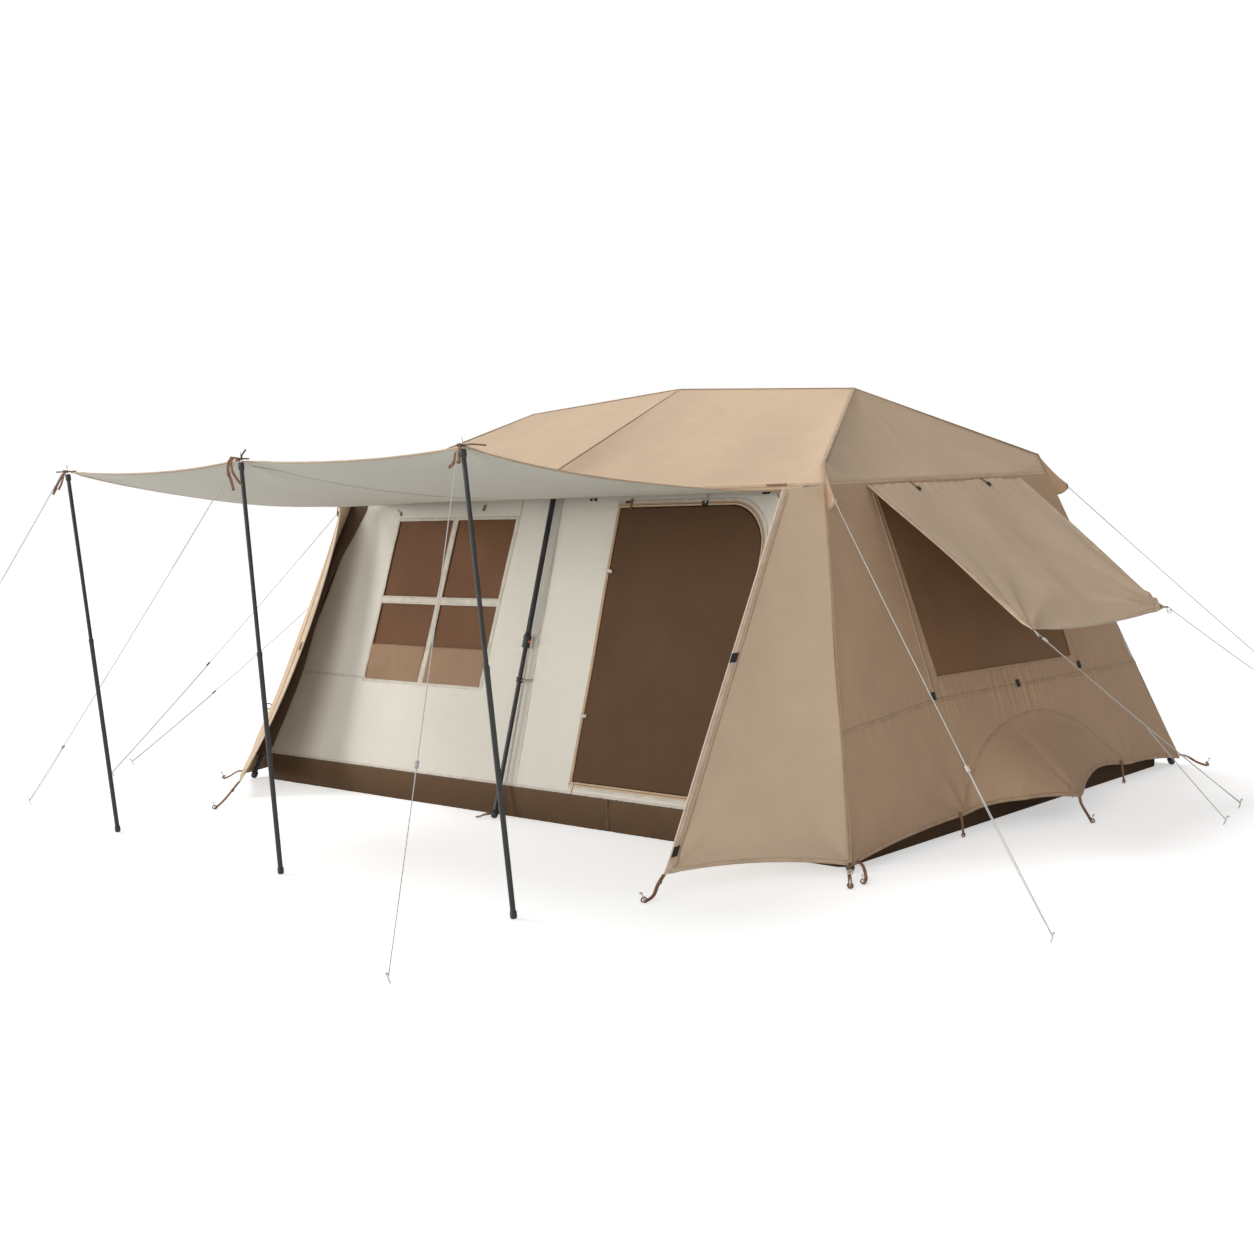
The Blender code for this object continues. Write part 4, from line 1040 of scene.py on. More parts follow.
def end_lie(y, z):
    """How far the cloth stands off the shell: its slack, small pleats that fade out above and below the
    knee seam, and creases out of the straps, the window's corners and the vent's peg."""
    free = ease(shell_y(z) - np.abs(y), 0, 0.12) * ease(END_TOP - z, 0, 0.12)
    below = z - np.interp(y, KNEE_SEAM_Y, KNEE_SEAM_Z)
    gathered = 0.25 + np.exp(-((y - 0.20) / 0.42) ** 2) + 0.6 * np.exp(-((y - 1.0) / 0.25) ** 2)
    fade = np.exp(-np.abs(below) / np.where(below > 0, 0.060, 0.085))
    lie = slack(y, z, 0.0036, 0.8) * free
    uneven = np.clip(0.45 + 0.55 * np.sin(y * 27 + 3 * np.sin(y * 9)), 0, 1)
    waves = y * 2 * math.pi / 0.047 + 2.6 * np.sin(y * 11) + 1.9 * np.sin(y * 41 + 1)
    lie = lie + PLEAT * gathered * uneven * fade * np.sin(waves + below * 7 * np.sin(y * 13))
    for strap_y, strap_z, pull in zip(HEM_STRAPS, HEM_HEIGHTS, (0.007, 0.007, 0.002, 0.007, 0.007)):
        lie = lie + rays(y, z, (strap_y, strap_z), 7, 0.20, pull, strap_y)
    for corner in ((window_front(0.7), 0.70), (WINDOW_BACK, 0.68)):
        lie = lie + rays(y, z, corner, 5, 0.09, 0.004)
    return lie + rays(y, z, (VENT_PULL_Y, VENT_PULL_Z), 6, 0.20, 0.0015, 0.8)


def end_point(y, z, out, side):
    """A point of an end wall at y and z. The leaning shell, pushed out by the cloth's lie, and in the
    vent's half ellipse pulled out to the peg, by a share that falls from 1 there to 0 on its rim."""
    above = z - hem_height(y * BASE_Y / shell_y(z))
    rim = np.hypot((y - VENT_MIDDLE_Y) / VENT_HALF, above / VENT_HIGH)
    toward = np.hypot((y - VENT_PULL_Y) / VENT_HALF, above / VENT_HIGH)
    pull = np.clip(1 - toward, 0, 1) ** 1.25 * np.clip(3 * (1 - rim), 0, 1)
    off = end_lie(y, z) + out
    x = shell_x(z) + (VENT_PULL_X - shell_x(VENT_PULL_Z)) * pull + END_OUT[0] * off
    return spots(side * x, y, z + END_OUT[1] * off)


def end_wall(name, side):
    """A grid whose lines run along the window's four edges. Its columns run so that it faces outwards."""
    level, _ = spread([HEM_Z, SILL_Z, END_WINDOW_TOP, END_TOP], (60, 50, 8))
    half = shell_y(level)
    edges = np.stack([-half, window_front(level), np.full_like(level, WINDOW_BACK), half], -1)
    y, stretch = spread(edges, (100, 150, 100))
    low = hem_height(y * BASE_Y / half[:, None])
    foot = window_foot(y)
    share = np.clip((level[:, None] - HEM_Z) / (SILL_Z - HEM_Z), 0, 1)
    upper = np.clip((level[:, None] - SILL_Z) / (END_WINDOW_TOP - SILL_Z), 0, 1)
    z = between(low, foot, share) + (END_WINDOW_TOP - foot) * upper
    z = z + np.maximum(level[:, None] - END_WINDOW_TOP, 0)
    row = ((level[:-1] + level[1:]) / 2)[:, None]
    opening = (row > SILL_Z) & (row < END_WINDOW_TOP) & (stretch == 1)
    points, y, z, opening = (grid[:, ::side] for grid in (end_point(y, z, 0, side), y, z, opening))
    # The end wall's tan cloth takes painted_shade_fly, its colour darkened by painted shade.
    panel(f"{name}_cloth", points, painted_shade_fly, (y, z), "fly_cloth", name, keep=~opening)


def end_window(name, side):
    """The mesh sewn in behind the window's opening, a few millimetres inside the wall."""
    y, z = np.meshgrid(np.linspace(-0.64, 0.71, 60)[::side], np.linspace(0.655, 1.565, 44))
    sink = 0.004 + 0.008 * arch((y + 0.64) / 1.35) * arch((z - 0.655) / 0.91)
    points = end_point(y, z, -sink, side)
    panel(f"{name}_net", points, end_net, (y, z), "brown_mesh", name, thick=MESH_THICK)


end_net = insect_mesh("end_net", (0.290, 0.168, 0.091), 0.7)
for side_name, side in SIDES:
    end_wall(f"end_wall_{side_name}", side)
    end_window(f"end_window_mesh_{side_name}", side)


# Window flaps. A storm flap hangs from a hinge seam just under each end's eave. Guy lines hold its two
# low corners out, so the cloth between them bellies, and creases run into both corners.
FLAP_HINGE_Z, FLAP_STANDOFF = 1.585, 0.012
FLAP_BELLY, FLAP_SAG, FLAP_FOLD = 0.036, 0.018, 0.010
FLAP_LONG = math.hypot(FLAP_OUT - shell_x(FLAP_HINGE_Z) - FLAP_STANDOFF, FLAP_HINGE_Z - FLAP_LOW)


def flap_lie(y, down):
    """Creases out of the two low corners, long folds between them, and slack."""
    lie = slack(y, down, 0.0022, 0.5) * arch(np.clip(down / FLAP_LONG, 0, 1))
    for end, folds, reach, deep in (
        (-1, 13, 0.45, 0.010), (-1, 29, 0.20, 0.005), (1, 13, 0.70, 0.015), (1, 31, 0.30, 0.006),
    ):
        lie = lie + rays(y, down, (end * FLAP_HALF, FLAP_LONG), folds, reach, deep, 0.8)
    return lie + 0.0018 * np.sin(y * 2 * math.pi / 0.085 + 4 * np.sin(3 * y)) * np.exp(-down / 0.10)


def flap_point(y, down, out, side):
    """A point of a flap, y along its hinge and down its slope. A straight line from hinge to hem, less a
    belly and plus long folds, each a product of humps; its hem is drawn in between the corners."""
    u, share = (y + FLAP_HALF) / (2 * FLAP_HALF), down / FLAP_LONG
    end, inside = 2 * u - 1, arch(share)
    belly = arch(u) * (FLAP_BELLY * np.maximum(share, 0) ** 1.5 + FLAP_SAG * inside)
    folds = FLAP_FOLD * np.sin(5 * math.pi * u) * inside + flap_lie(y, down) + out
    drawn = HEM_LIFT * arch(u) * share**3
    x = between(shell_x(FLAP_HINGE_Z) + FLAP_STANDOFF, FLAP_OUT - FLAP_SKEW_X * end, share)
    x = x - drawn - 0.4 * belly + 0.53 * (flap_lie(y, down) + out)
    z = between(FLAP_HINGE_Z, FLAP_LOW - FLAP_SKEW_Z * end, share) - belly + 0.85 * folds
    return spots(side * x, y, z)


def window_flap(name, body, side):
    """A flap as one sheet, its columns run so that it faces outwards."""
    y, down = np.meshgrid(np.linspace(-FLAP_HALF, FLAP_HALF, 100)[::side], np.linspace(FLAP_LONG, 0, 76))
    points = flap_point(y, down, 0, side)
    panel(f"{name}_cloth", points, tan_fly, (y, down), "fly_cloth", name, body)


for side_name, side in SIDES:
    window_flap(f"window_flap_{side_name}", f"flap_{side_name}", side)


# Front wings. From each front corner seam a tan wing flares forward beside the porch. Its free edge runs
# from the eave down to a leather strap, pegged out in front, that pulls the cloth taut.
WING_TIP = {1: np.array((1.735, -2.185, 0.080)), -1: np.array((-1.690, -1.875, 0.087))}
WING_TOP, WING_TOP_Z, WING_SAG = (1.598, -1.158), 1.597, 0.030
WING_CURL, CURL_REACH = {1: 0.0, -1: 0.088}, 0.34
WING_LONG, WING_FOOT, WING_HEAD = 1.6, 0.75, 0.25
CORNER_INSET = 0.006
WING_OUT = np.array((0.85, -0.53, 0.0))


def eave_front_y(x):
    """The front eave seam's y at x: it stands out over the middle leg."""
    return -(shell_y(SEAM_Z) + MID_BULGE * (1 - np.abs(x) / shell_x(SEAM_Z)))


def wing_point(u, v, out, side):
    """A point of a wing: u from its free edge to the corner seam, v up from the hem. A straight blend of
    the two edges, hollowed inwards by a hump and lifted along the hem, with creases out of its tip."""
    seam_low, seam_top = (
        np.array((side * (shell_x(z) - CORNER_INSET), -shell_y(z) - 0.004, z + rise))
        for z, rise in ((HEM_Z, 0.004), (WING_TOP_Z, 0.0))
    )
    free_top = np.array((side * WING_TOP[0], WING_TOP[1], WING_TOP_Z - 0.014))
    u, v = (np.asarray(value, float)[..., None] for value in (u, v))
    flat = between(between(WING_TIP[side], free_top, v), between(seam_low, seam_top, v), u)
    across, up = u[..., 0] * between(WING_FOOT, WING_HEAD, v[..., 0]), v[..., 0] * WING_LONG
    off = rays(across, up, (0, 0), 9, 0.40, 0.008) + rays(across, up, (WING_FOOT, 0), 7, 0.22, 0.006)
    off = off + slack(across, up, 0.003, 0.6) * arch(v[..., 0]) + out
    hollow = np.array((-side * 0.8, 0.5, 0)) * WING_SAG * arch(u) * arch(v)
    curl = WING_CURL[side] * np.clip(1 - u / CURL_REACH, 0, 1) ** 2 * np.maximum(arch(v), 0) ** 0.7
    hollow = hollow - WING_OUT * (side, 1, 1) * curl
    lift = np.array((0, 0, WING_SAG)) * arch(u) * (1 - v) ** 2
    return flat + hollow + lift + WING_OUT * (side, 1, 1) * off[..., None]


def wing(name, side):
    """A wing as one sheet."""
    u, v = np.meshgrid(np.linspace(0, 1, 56)[::side], np.linspace(0, 1, 110))
    uv = (u * between(WING_FOOT, WING_HEAD, v), v * WING_LONG)
    panel(f"{name}_cloth", wing_point(u, v, 0, side), tan_fly, uv, "fly_cloth", name)


wing("wing_right", 1)
wing("wing_left", -1)


# Back wall. A plain tan wall over the middle leg, its hem lifted between the corners and that leg.
def back_point(x, z):
    """A point of the back wall: the leaning shell, standing out over the middle leg."""
    off = slack(x, z, 0.0045, 0.9) * ease(z, 0.05, 0.3) * ease(END_TOP - z, 0, 0.15)
    for pull_x, pull_z, folds in ((-1.0, 0.08, 7), (1.0, 0.08, 7), (0, 0.05, 9)):
        off = off + rays(x, z, (pull_x, pull_z), folds, 0.2, 0.006)
    y = shell_y(z) + MID_BULGE * (1 - np.abs(x) / (shell_x(z) - CORNER_INSET))
    return spots(x, y + 0.947 * off, z + 0.321 * off)


def back_wall():
    """One sheet from the lifted hem up to the eave."""
    share, level = np.meshgrid(np.linspace(0, 1, 161), np.linspace(0, 1, 61))
    z = between(HEM_Z + 0.01 + HEM_LIFT * arch((2 * share) % 1), END_TOP, level)
    x = between(1, -1, share) * (shell_x(z) - CORNER_INSET)
    points = back_point(x, z)
    panel("back_wall_cloth", points, tan_fly, (x, z), "fly_cloth", "back_wall")


back_wall()


# Roof. Six sewn panels of tan ripstop lie over the hip poles and end in a short skirt round the eaves.
# Each panel sags a little, and falls sharply beside the knuckles, which lift it to a point.
ROOF_SAG, EAVE_DIP, DIP_REACH = 0.022, 0.088, 0.11
EAVE_MIDDLE = EAVE_Y + MID_BULGE
ROOF_CORNERS = (
    ((EAVE_X, -EAVE_Y), (HUB_X, HUB_Z)), ((EAVE_X, EAVE_Y), (HUB_X, HUB_Z)),
    ((0, EAVE_MIDDLE), (0, RIDGE_Z)), ((-EAVE_X, EAVE_Y), (-HUB_X, HUB_Z)),
    ((-EAVE_X, -EAVE_Y), (-HUB_X, HUB_Z)), ((0, -EAVE_MIDDLE), (0, RIDGE_Z)),
)


def roof_corner(number):
    """The eave point and the ridge point at one end of a hip."""
    (eave_x, eave_y), (top_x, top_z) = ROOF_CORNERS[number % len(ROOF_CORNERS)]
    return np.array((eave_x, eave_y, EAVE_Z)), np.array((top_x, 0.0, top_z))


def roof_point(number, share, fall, out=0.0):
    """A point of a roof panel: share along it from one hip to the next, fall from the ridge at 0 to the
    eave at 1 and on down the skirt to 2. Straight down the slope, less a hump. The eave slips down in the
    walls' plane by a dip that grows with the distance from the nearer hip."""
    (eave_a, top_a), (eave_b, top_b) = roof_corner(number), roof_corner(number + 1)
    share, fall = (np.asarray(value, float)[..., None] for value in np.broadcast_arrays(share, fall))
    wide = np.linalg.norm(eave_b - eave_a)
    far = np.minimum(share, 1 - share) * wide
    dip = EAVE_DIP * (1 - np.exp(-(np.maximum(far, 0) / DIP_REACH) ** 1.3))
    eave = between(eave_a, eave_b, share)
    side_x, side_y = eave[..., :1] / EAVE_X, np.clip(eave[..., 1:2] / EAVE_Y, -1, 1)
    lean = np.concatenate([side_x * LEAN_X, side_y * LEAN_Y, -np.ones_like(far)], -1)
    away = unit(np.concatenate([side_x * LEAN_Y, side_y * LEAN_X, np.full_like(far, 0.5)], -1))
    eave = eave + lean * dip
    panel_fall, skirt = np.clip(fall, 0, 1), np.clip(fall - 1, 0, 1)
    flat = between(between(top_a, top_b, share), eave, panel_fall)
    across, down = (share - 0.5) * wide, panel_fall * 1.2
    lie = slack(across + number, down, 0.0034, 0.7) * arch(panel_fall) * ease(far, 0, 0.15)
    near, other = share * wide, (1 - share) * wide
    crease = rays(near, down, (0, 1.2), 8, 0.16, 0.006) + rays(other, down, (0, 1.2), 8, 0.16, 0.006)
    sag = ROOF_SAG * arch(share) * arch(panel_fall)
    flat = flat + np.array((0, 0, 1.0)) * (lie + crease * ease(far, 0, 0.04) * (1 - skirt) - sag)
    drop = (eave[..., 2:] - (SEAM_Z + 0.0008)) * skirt
    return flat + lean * drop + away * out


def roof():
    """The six panels as one closed skin from the skirt's hem up to the ridge line."""
    fall, _ = spread([2, 1, 0], (7, 44))
    share = np.linspace(0, 1, 51)[:-1]
    panels = [roof_point(number, share[None, :], fall[:, None]) for number in range(len(ROOF_CORNERS))]
    points = np.concatenate(panels, axis=1)
    wide = np.linspace(0, 9.0, points.shape[1])
    uv = np.stack(np.broadcast_arrays(wide[None, :], fall[:, None] * 1.2), -1)
    faces = quads(*points.shape[:2], close_columns=True).reshape(-1, 4)
    piece = add_mesh("roof_cloth", points, faces, tan_fly, uv, weld=True)
    thicken(piece, CLOTH_THICK)
    dress(piece, "tent", "fly_cloth", "roof_fly")


def valance():
    """The strip behind the front eave's seam. The canopy is buttoned to it."""
    x, z = np.meshgrid(np.linspace(-1.66, 1.66, 120), (1.574, 1.590, 1.606))
    points = spots(x, eave_front_y(x) + 0.003, z)
    panel("valance_cloth", points, tan_fly, (x, z), "fly_cloth")


roof()
valance()


# Porch canopy. One sheet, tan outside and grey-coated below, buttoned along the front eave and tied by
# leather thongs to the three poles. It sags between them and scallops along its free edges.
CANOPY_X, CANOPY_ROOT_Z = 1.455, 1.578
CANOPY_SET_BACK, CANOPY_OVER_POLE = 0.014, 0.006
CANOPY_EDGE_SAGS, CANOPY_MIDDLE_SAG = (0.072, 0.045), 0.055
CANOPY_LOBE, CANOPY_WAIST = 0.027, 0.02
CANOPY_WIDE, CANOPY_LONG = 2.91, 1.95


def canopy_point(u, reach):
    """A point of the canopy: u across from left to right, reach from the eave at 0 to the poles at 1.
    Straight lines from eave to poles, less a sag towards the sides, less two lobes between the poles."""
    u, reach = np.broadcast_arrays(np.asarray(u, float), np.asarray(reach, float))
    x = between(-CANOPY_X, CANOPY_X, u)
    lobe, side = arch((2 * np.clip(u, 0, 1)) % 1), np.abs(2 * u - 1)
    heads = [[POLE_HEADS[name][axis] for name in ("left", "middle", "right")] for axis in (1, 2)]
    head_y, head_z = (np.interp(u, (0, 0.5, 1), head) for head in heads)
    y = between(eave_front_y(x) - 0.002, head_y + CANOPY_SET_BACK, reach) + CANOPY_LOBE * lobe * reach**3
    sag = np.maximum(between(*CANOPY_EDGE_SAGS, u) * side, CANOPY_MIDDLE_SAG * (1 - side))
    z = between(CANOPY_ROOT_Z, head_z + CANOPY_OVER_POLE, reach)
    z = z - sag * arch(reach) - CANOPY_LOBE * lobe * (arch(reach) + reach**2)
    far = (1 - reach) * 1.9
    crease = slack(x, far, 0.003, 0.8) * arch(reach)
    for name in POLE_HEADS:
        crease = crease + rays(x, far, (POLE_HEADS[name][0], 0.0), 11, 0.30, 0.006)
    return spots(x * (1 - CANOPY_WAIST * arch(reach)), y, z + crease)


def canopy():
    """One sheet, the tan cloth above and its grey coating below."""
    u, reach = np.meshgrid(np.linspace(0, 1, 151), np.linspace(1, 0, 91))
    points, uv = canopy_point(u, reach), (u * CANOPY_WIDE, reach * CANOPY_LONG)
    finishes = [canopy_tan, canopy_grey]
    panel("canopy_cloth", points, finishes, uv, "canopy_cloth", "porch_canopy", lining=1)


canopy_tan = cloth_finish("canopy_tan", (0.564, 0.414, 0.272))
canopy_grey = cloth_finish("canopy_grey", (0.720, 0.700, 0.615), crease=0.006, roughness=0.7, mottle=0.03)
canopy()


# Corner strips. A strip of cloth closes each front corner, from the cream wall out to the corner seam,
# and covers the leg that stands there. Its dark brown is painted shade: the wing's inner face in shadow.
# It is sewn in along both edges and widens upwards.
STRIP_HIGH, STRIP_EDGE = (0.14, 0.62, 1.17, 1.62), (2.026, 1.868, 1.772, 1.562)
STRIP_LOW, STRIP_BOW = 0.150, 0.012


def corner_strip(name, side):
    """A ruled strip between a line on the cream wall and the corner seam, bowed outwards by a hump."""
    h = np.linspace(STRIP_LOW, WALL_HIGH, 60)
    edge = smooth_line(list(zip(STRIP_HIGH, STRIP_EDGE)), 60)
    inner = wall_point(side * np.interp(h, edge[:, 0], edge[:, 1]), h, 0.003)
    z = inner[:, 2]
    outer = spots(side * (shell_x(z) - CORNER_INSET), -shell_y(z) - 0.003, z)
    share = np.linspace(0, 1, 12)[::side, None]
    points = between(inner[:, None], outer[:, None], share) - np.array((0, STRIP_BOW, 0)) * arch(share)
    uv = (share[None, :, 0] * 0.12, h[:, None])
    panel(name, points, strip_painted_shade, uv, "tub_cloth")


# strip_painted_shade is painted shade: a dark brown that stands for the wing's inner face in shadow, not the
# cloth's own colour.
strip_painted_shade = cloth_finish("strip_painted_shade", (0.125, 0.080, 0.052), roughness=0.8, sheen=0.0)
for side_name, side in SIDES:
    corner_strip(f"corner_strip_{side_name}", side)


# Felled seams. Where two panels of the fly meet, their edges are folded into each other and sewn down
# twice: over the six hips and the ridge, round under the eaves, down the corners and across the walls.
SEAM_WIDE, SEAM_THICK = 0.014, 0.0028
VENT_ARC = (
    (-0.611, 0.108), (-0.532, 0.207), (-0.340, 0.352), (-0.138, 0.420), (0.110, 0.452), (0.341, 0.435),
    (0.567, 0.356), (0.755, 0.236), (0.908, 0.102),
)
PATCH_R = 0.045


def zip_finish(name, colour, coil):
    """Zip tape: a herringbone weave, stitched along both edges, with the coil's teeth down the middle."""
    material, shader, where, uv = start_finish(name, 0.75)
    along, off = uv.split("X"), abs(uv.split("Y"))
    teeth = along.waves(0.0032) * 0.5 + 0.5
    middle = 1 - off.above(0.08, 0.13)
    stitch = stitching(along, off, 0.00641)
    base = where.noise(15, 4).above(0.3, 0.7).tint(colour, shade(colour, 1.12))
    feed(shader, Base_Color=stitch.tint(middle.tint(base, coil), shade(colour, 0.6)))
    feed(shader, Normal=(middle * (teeth + 1) + stitch * 0.6).bump(0.0008, 0.7))
    return material


seam_fly = webbing("seam_fly", (0.627, 0.469, 0.326), (0.508, 0.373, 0.252), rib=0.0016)
# seam_painted_shade is seam_fly's tape darkened by painted shade, for the end walls, the corners, the back
# wall and the wings' folds.
seam_painted_shade = webbing("seam_painted_shade", (0.490, 0.328, 0.207), (0.330, 0.215, 0.132), rib=0.0016)
zip_tan = zip_finish("zip_tan", (0.559, 0.403, 0.256), (0.202, 0.124, 0.072))


def felled(name, line, out, finish=seam_fly, wide=SEAM_WIDE, ring=False):
    """A seam that runs free along an edge between two panels."""
    piece = sweep(name, line, flat_section(wide, SEAM_THICK, 0.5), finish, out=out, ring=ring, wide=wide)
    dress(piece, "tent", "tan_binding")


def sewn(name, surface, line, wide, finish, slot="tan_binding", body="tent", face=1, *, count, both=False):
    """A seam or tape sewn flat on a panel, or folded round its edge, on both faces."""
    lift, thick = (-0.0007, 0.0032) if both else (0.0002, 0.0016)
    dress(tape(name, surface, line, wide, finish, thick, lift, count, face), body, slot)


def on_side(surface, side):
    """The places of a surface that both sides have, on one of them."""
    return lambda first, second: surface(first, second, 0, side)


def roof_seams():
    """Down each hip the seam turns from facing up to facing out, as it passes the eave."""
    fall = np.linspace(0, 1.97, 80)
    up = ease(fall, 1.06, 0.95)[:, None]
    for number in range(len(ROOF_CORNERS)):
        line = roof_point(number, 0.0, fall, 0.001)
        out = unit(line * (1, 1, 0)) * (1 - 0.75 * up) + np.array((0, 0, 1.0)) * (0.15 + 0.85 * up)
        felled(f"hip_seam_{number}", line, out)
    top = [(-HUB_X, 0, HUB_Z + 0.001), (0, 0, RIDGE_Z + 0.001), (HUB_X, 0, HUB_Z + 0.001)]
    felled("ridge_seam", evenly(top, 60), (0, 0, 1))
    share = np.linspace(0, 1, 41)[:-1]
    eave = np.concatenate([roof_point(number, share, 2.0, 0.001) for number in range(len(ROOF_CORNERS))])
    felled("eave_seam", eave, unit(eave * (1, 1, 0)), ring=True)


def corner_seams():
    """Down each corner the seam faces out between the end wall and the front or back."""
    z = np.linspace(HEM_Z + 0.004, 1.597, 80)
    for x_name, side in SIDES:
        for y_name, end in ENDS:
            line = spots(side * (shell_x(z) - CORNER_INSET / 2), end * (shell_y(z) + 0.003), z)
            felled(f"corner_seam_{y_name}_{x_name}", line, (side * 0.7, end * 0.7, 0.25), seam_painted_shade, 0.013)


def end_seams(name, side):
    """The knee seam, the vent's arc, the hem, the window's edges and the patch behind the vent's peg."""
    y = np.linspace(0.01 - BASE_Y, BASE_Y - 0.01, 240)
    z = np.linspace(0.69, END_WINDOW_TOP, 30)
    foot, back = np.linspace(-0.53, WINDOW_BACK, 40), WINDOW_BACK + 0.006
    turn = np.linspace(-0.1, math.pi + 0.1, 30)
    patch = PATCH_R * np.stack([np.cos(turn), np.sin(turn)], -1) + (VENT_PULL_Y, VENT_PULL_Z + 0.006)
    for part, line, wide, finish, count in (
        ("knee_seam", list(zip(KNEE_SEAM_Y, KNEE_SEAM_Z)), 0.019, seam_painted_shade, 240),
        ("vent_seam", smooth_line(VENT_ARC, 80), 0.013, seam_painted_shade, 160),
        ("hem", np.stack([y, hem_height(y) + 0.009], -1), 0.018, seam_painted_shade, 240),
        ("window_front_tape", np.stack([window_front(z) - 0.007, z], -1), 0.014, tan_tape, 60),
        ("window_back_tape", [(back, 0.675), (back, END_WINDOW_TOP)], 0.012, seam_painted_shade, 60),
        ("window_foot_tape", np.stack([foot, window_foot(foot) - 0.007], -1), 0.014, seam_painted_shade, 60),
        ("zip_front", [(-0.632, 1.55), (-0.588, 0.612)], 0.026, zip_tan, 60),
        ("zip_back", [(0.722, 1.50), (0.726, 0.63)], 0.022, zip_tan, 60),
        ("vent_patch", patch, 0.005, seam_painted_shade, 60),
    ):
        place = on_side(end_point, side)
        sewn(f"{name}_{part}", place, line, wide, finish, face=side, count=count, both=part == "hem")


def back_seams():
    """The back wall's folded hem and its knee seam."""
    x = np.linspace(-2.12, 2.12, 160)
    hem = np.stack([x, HEM_Z + 0.019 + HEM_LIFT * arch((x / BASE_X + 1) % 1)], -1)
    sewn("back_wall_hem", back_point, hem, 0.018, seam_painted_shade, face=-1, count=200, both=True)
    knee = [(-2.0, 0.565), (2.0, 0.565)]
    sewn("back_wall_knee_seam", back_point, knee, SEAM_WIDE, seam_painted_shade, face=-1, count=160)


roof_seams()
corner_seams()
for side_name, side in SIDES:
    end_seams(f"end_wall_{side_name}", side)
back_seams()


# Edge bindings. The free edges of the wings, the flaps and the canopy are folded into tape and sewn twice.
# A wing's long edge has a wide paler band with a round cord in it, because it carries the pull of the peg.
WING_BAND, FLAP_BAND, HEM_BAND, CANOPY_BAND = 0.026, 0.026, 0.018, 0.018
edge_tape = webbing("edge_tape", (0.707, 0.545, 0.397), (0.381, 0.262, 0.170), rib=0.0016)
piping = cloth_finish("piping", (0.780, 0.650, 0.507), crease=0.001)
canopy_tape = webbing("canopy_tape", (0.600, 0.450, 0.305), (0.400, 0.280, 0.185), rib=0.0016)
canopy_seam = webbing("canopy_seam", (0.504, 0.461, 0.372), (0.320, 0.289, 0.234), rib=0.0016)


def wing_place(across, up, out, side):
    """A wing's place by metres from its long edge and from its foot."""
    return wing_point(across / between(WING_FOOT, WING_HEAD, up / WING_LONG), up / WING_LONG, out, side)


def canopy_place(across, down):
    """The canopy's place by metres from its left edge and from the eave."""
    return canopy_point(across / CANOPY_WIDE, down / CANOPY_LONG)


def wing_bindings(name, side):
    """The band, the fold beside it and the hem are sewn, and the cord lies along the long edge."""
    middle, fold = WING_BAND / 2, WING_BAND + 0.012
    for part, line, wide, finish, count, both in (
        ("edge", [(middle, 0), (middle, WING_LONG)], WING_BAND, edge_tape, 120, True),
        ("fold", [(fold, 0.02), (fold, 1.58)], 0.006, seam_painted_shade, 120, False),
        ("hem", [(0.02, 0.009), (0.745, 0.009)], HEM_BAND, seam_fly, 80, True),
    ):
        place = on_side(wing_place, side)
        sewn(f"{name}_{part}", place, line, wide, finish, face=side, count=count, both=both)
    edge = wing_point(np.zeros(120), np.linspace(0, 1, 120), 0, side)
    dress(sweep(f"{name}_piping", edge, round_section(8) * 0.0042, piping), "tent", "cream_binding")


def flap_bindings(name, body, side):
    """A band along each side edge of a window flap, and a narrower one along its foot."""
    y, foot = FLAP_HALF - FLAP_BAND / 2, FLAP_LONG - HEM_BAND / 2
    for part, line, wide in (
        ("front_band", [(-y, 0), (-y, FLAP_LONG)], FLAP_BAND),
        ("back_band", [(y, 0), (y, FLAP_LONG)], FLAP_BAND),
        ("hem", [(-FLAP_HALF, foot), (FLAP_HALF, foot)], HEM_BAND),
    ):
        place = on_side(flap_point, side)
        sewn(f"{name}_{part}", place, line, wide, seam_fly, body=body, face=-side, count=120, both=True)


def canopy_bindings():
    """The canopy's three free edges are bound, and a seam runs down the middle of its underside."""
    near, far, foot = CANOPY_BAND / 2, CANOPY_WIDE - CANOPY_BAND / 2, CANOPY_LONG - CANOPY_BAND / 2
    for name, line in {
        "left": [(near, 0), (near, CANOPY_LONG)], "right": [(far, 0), (far, CANOPY_LONG)],
        "front": [(0, foot), (CANOPY_WIDE, foot)],
    }.items():
        piece_name = f"canopy_{name}_binding"
        sewn(piece_name, canopy_place, line, CANOPY_BAND, canopy_tape, face=-1, count=160, both=True)
    line = [(CANOPY_WIDE / 2, 0.03), (CANOPY_WIDE / 2, 1.90)]
    below = tape("canopy_middle_seam", canopy_place, line, 0.016, canopy_seam, 0.0014, CLOTH_THICK, 120)
    dress(below, "tent", "tan_binding")


for side_name, side in SIDES:
    wing_bindings(f"wing_{side_name}", side)
    flap_bindings(f"window_flap_{side_name}", f"flap_{side_name}", side)
canopy_bindings()


# Tapes of the front wall. Cream cotton tape frames the window and covers its bars. The door's opening has
# a tan tape on its hinge side and a tan zip, between cream strips, round its curved side and its foot.
ZIP_OFF, STRIP_OFF, DOOR_TAPE = 0.009, 0.026, 0.017
EDGE_OFF, WINDOW_OFF, WINDOW_TAPE = 0.008, 0.016, 0.017
cream_seam = webbing("cream_seam", (0.621, 0.567, 0.473), (0.43, 0.375, 0.30), rib=0.0016)


def wall_tape(name, line, wide, finish, slot="cream_binding", count=60):
    """A tape sewn flat on the front wall."""
    sewn(name, wall_point, line, wide, finish, slot, count=count)


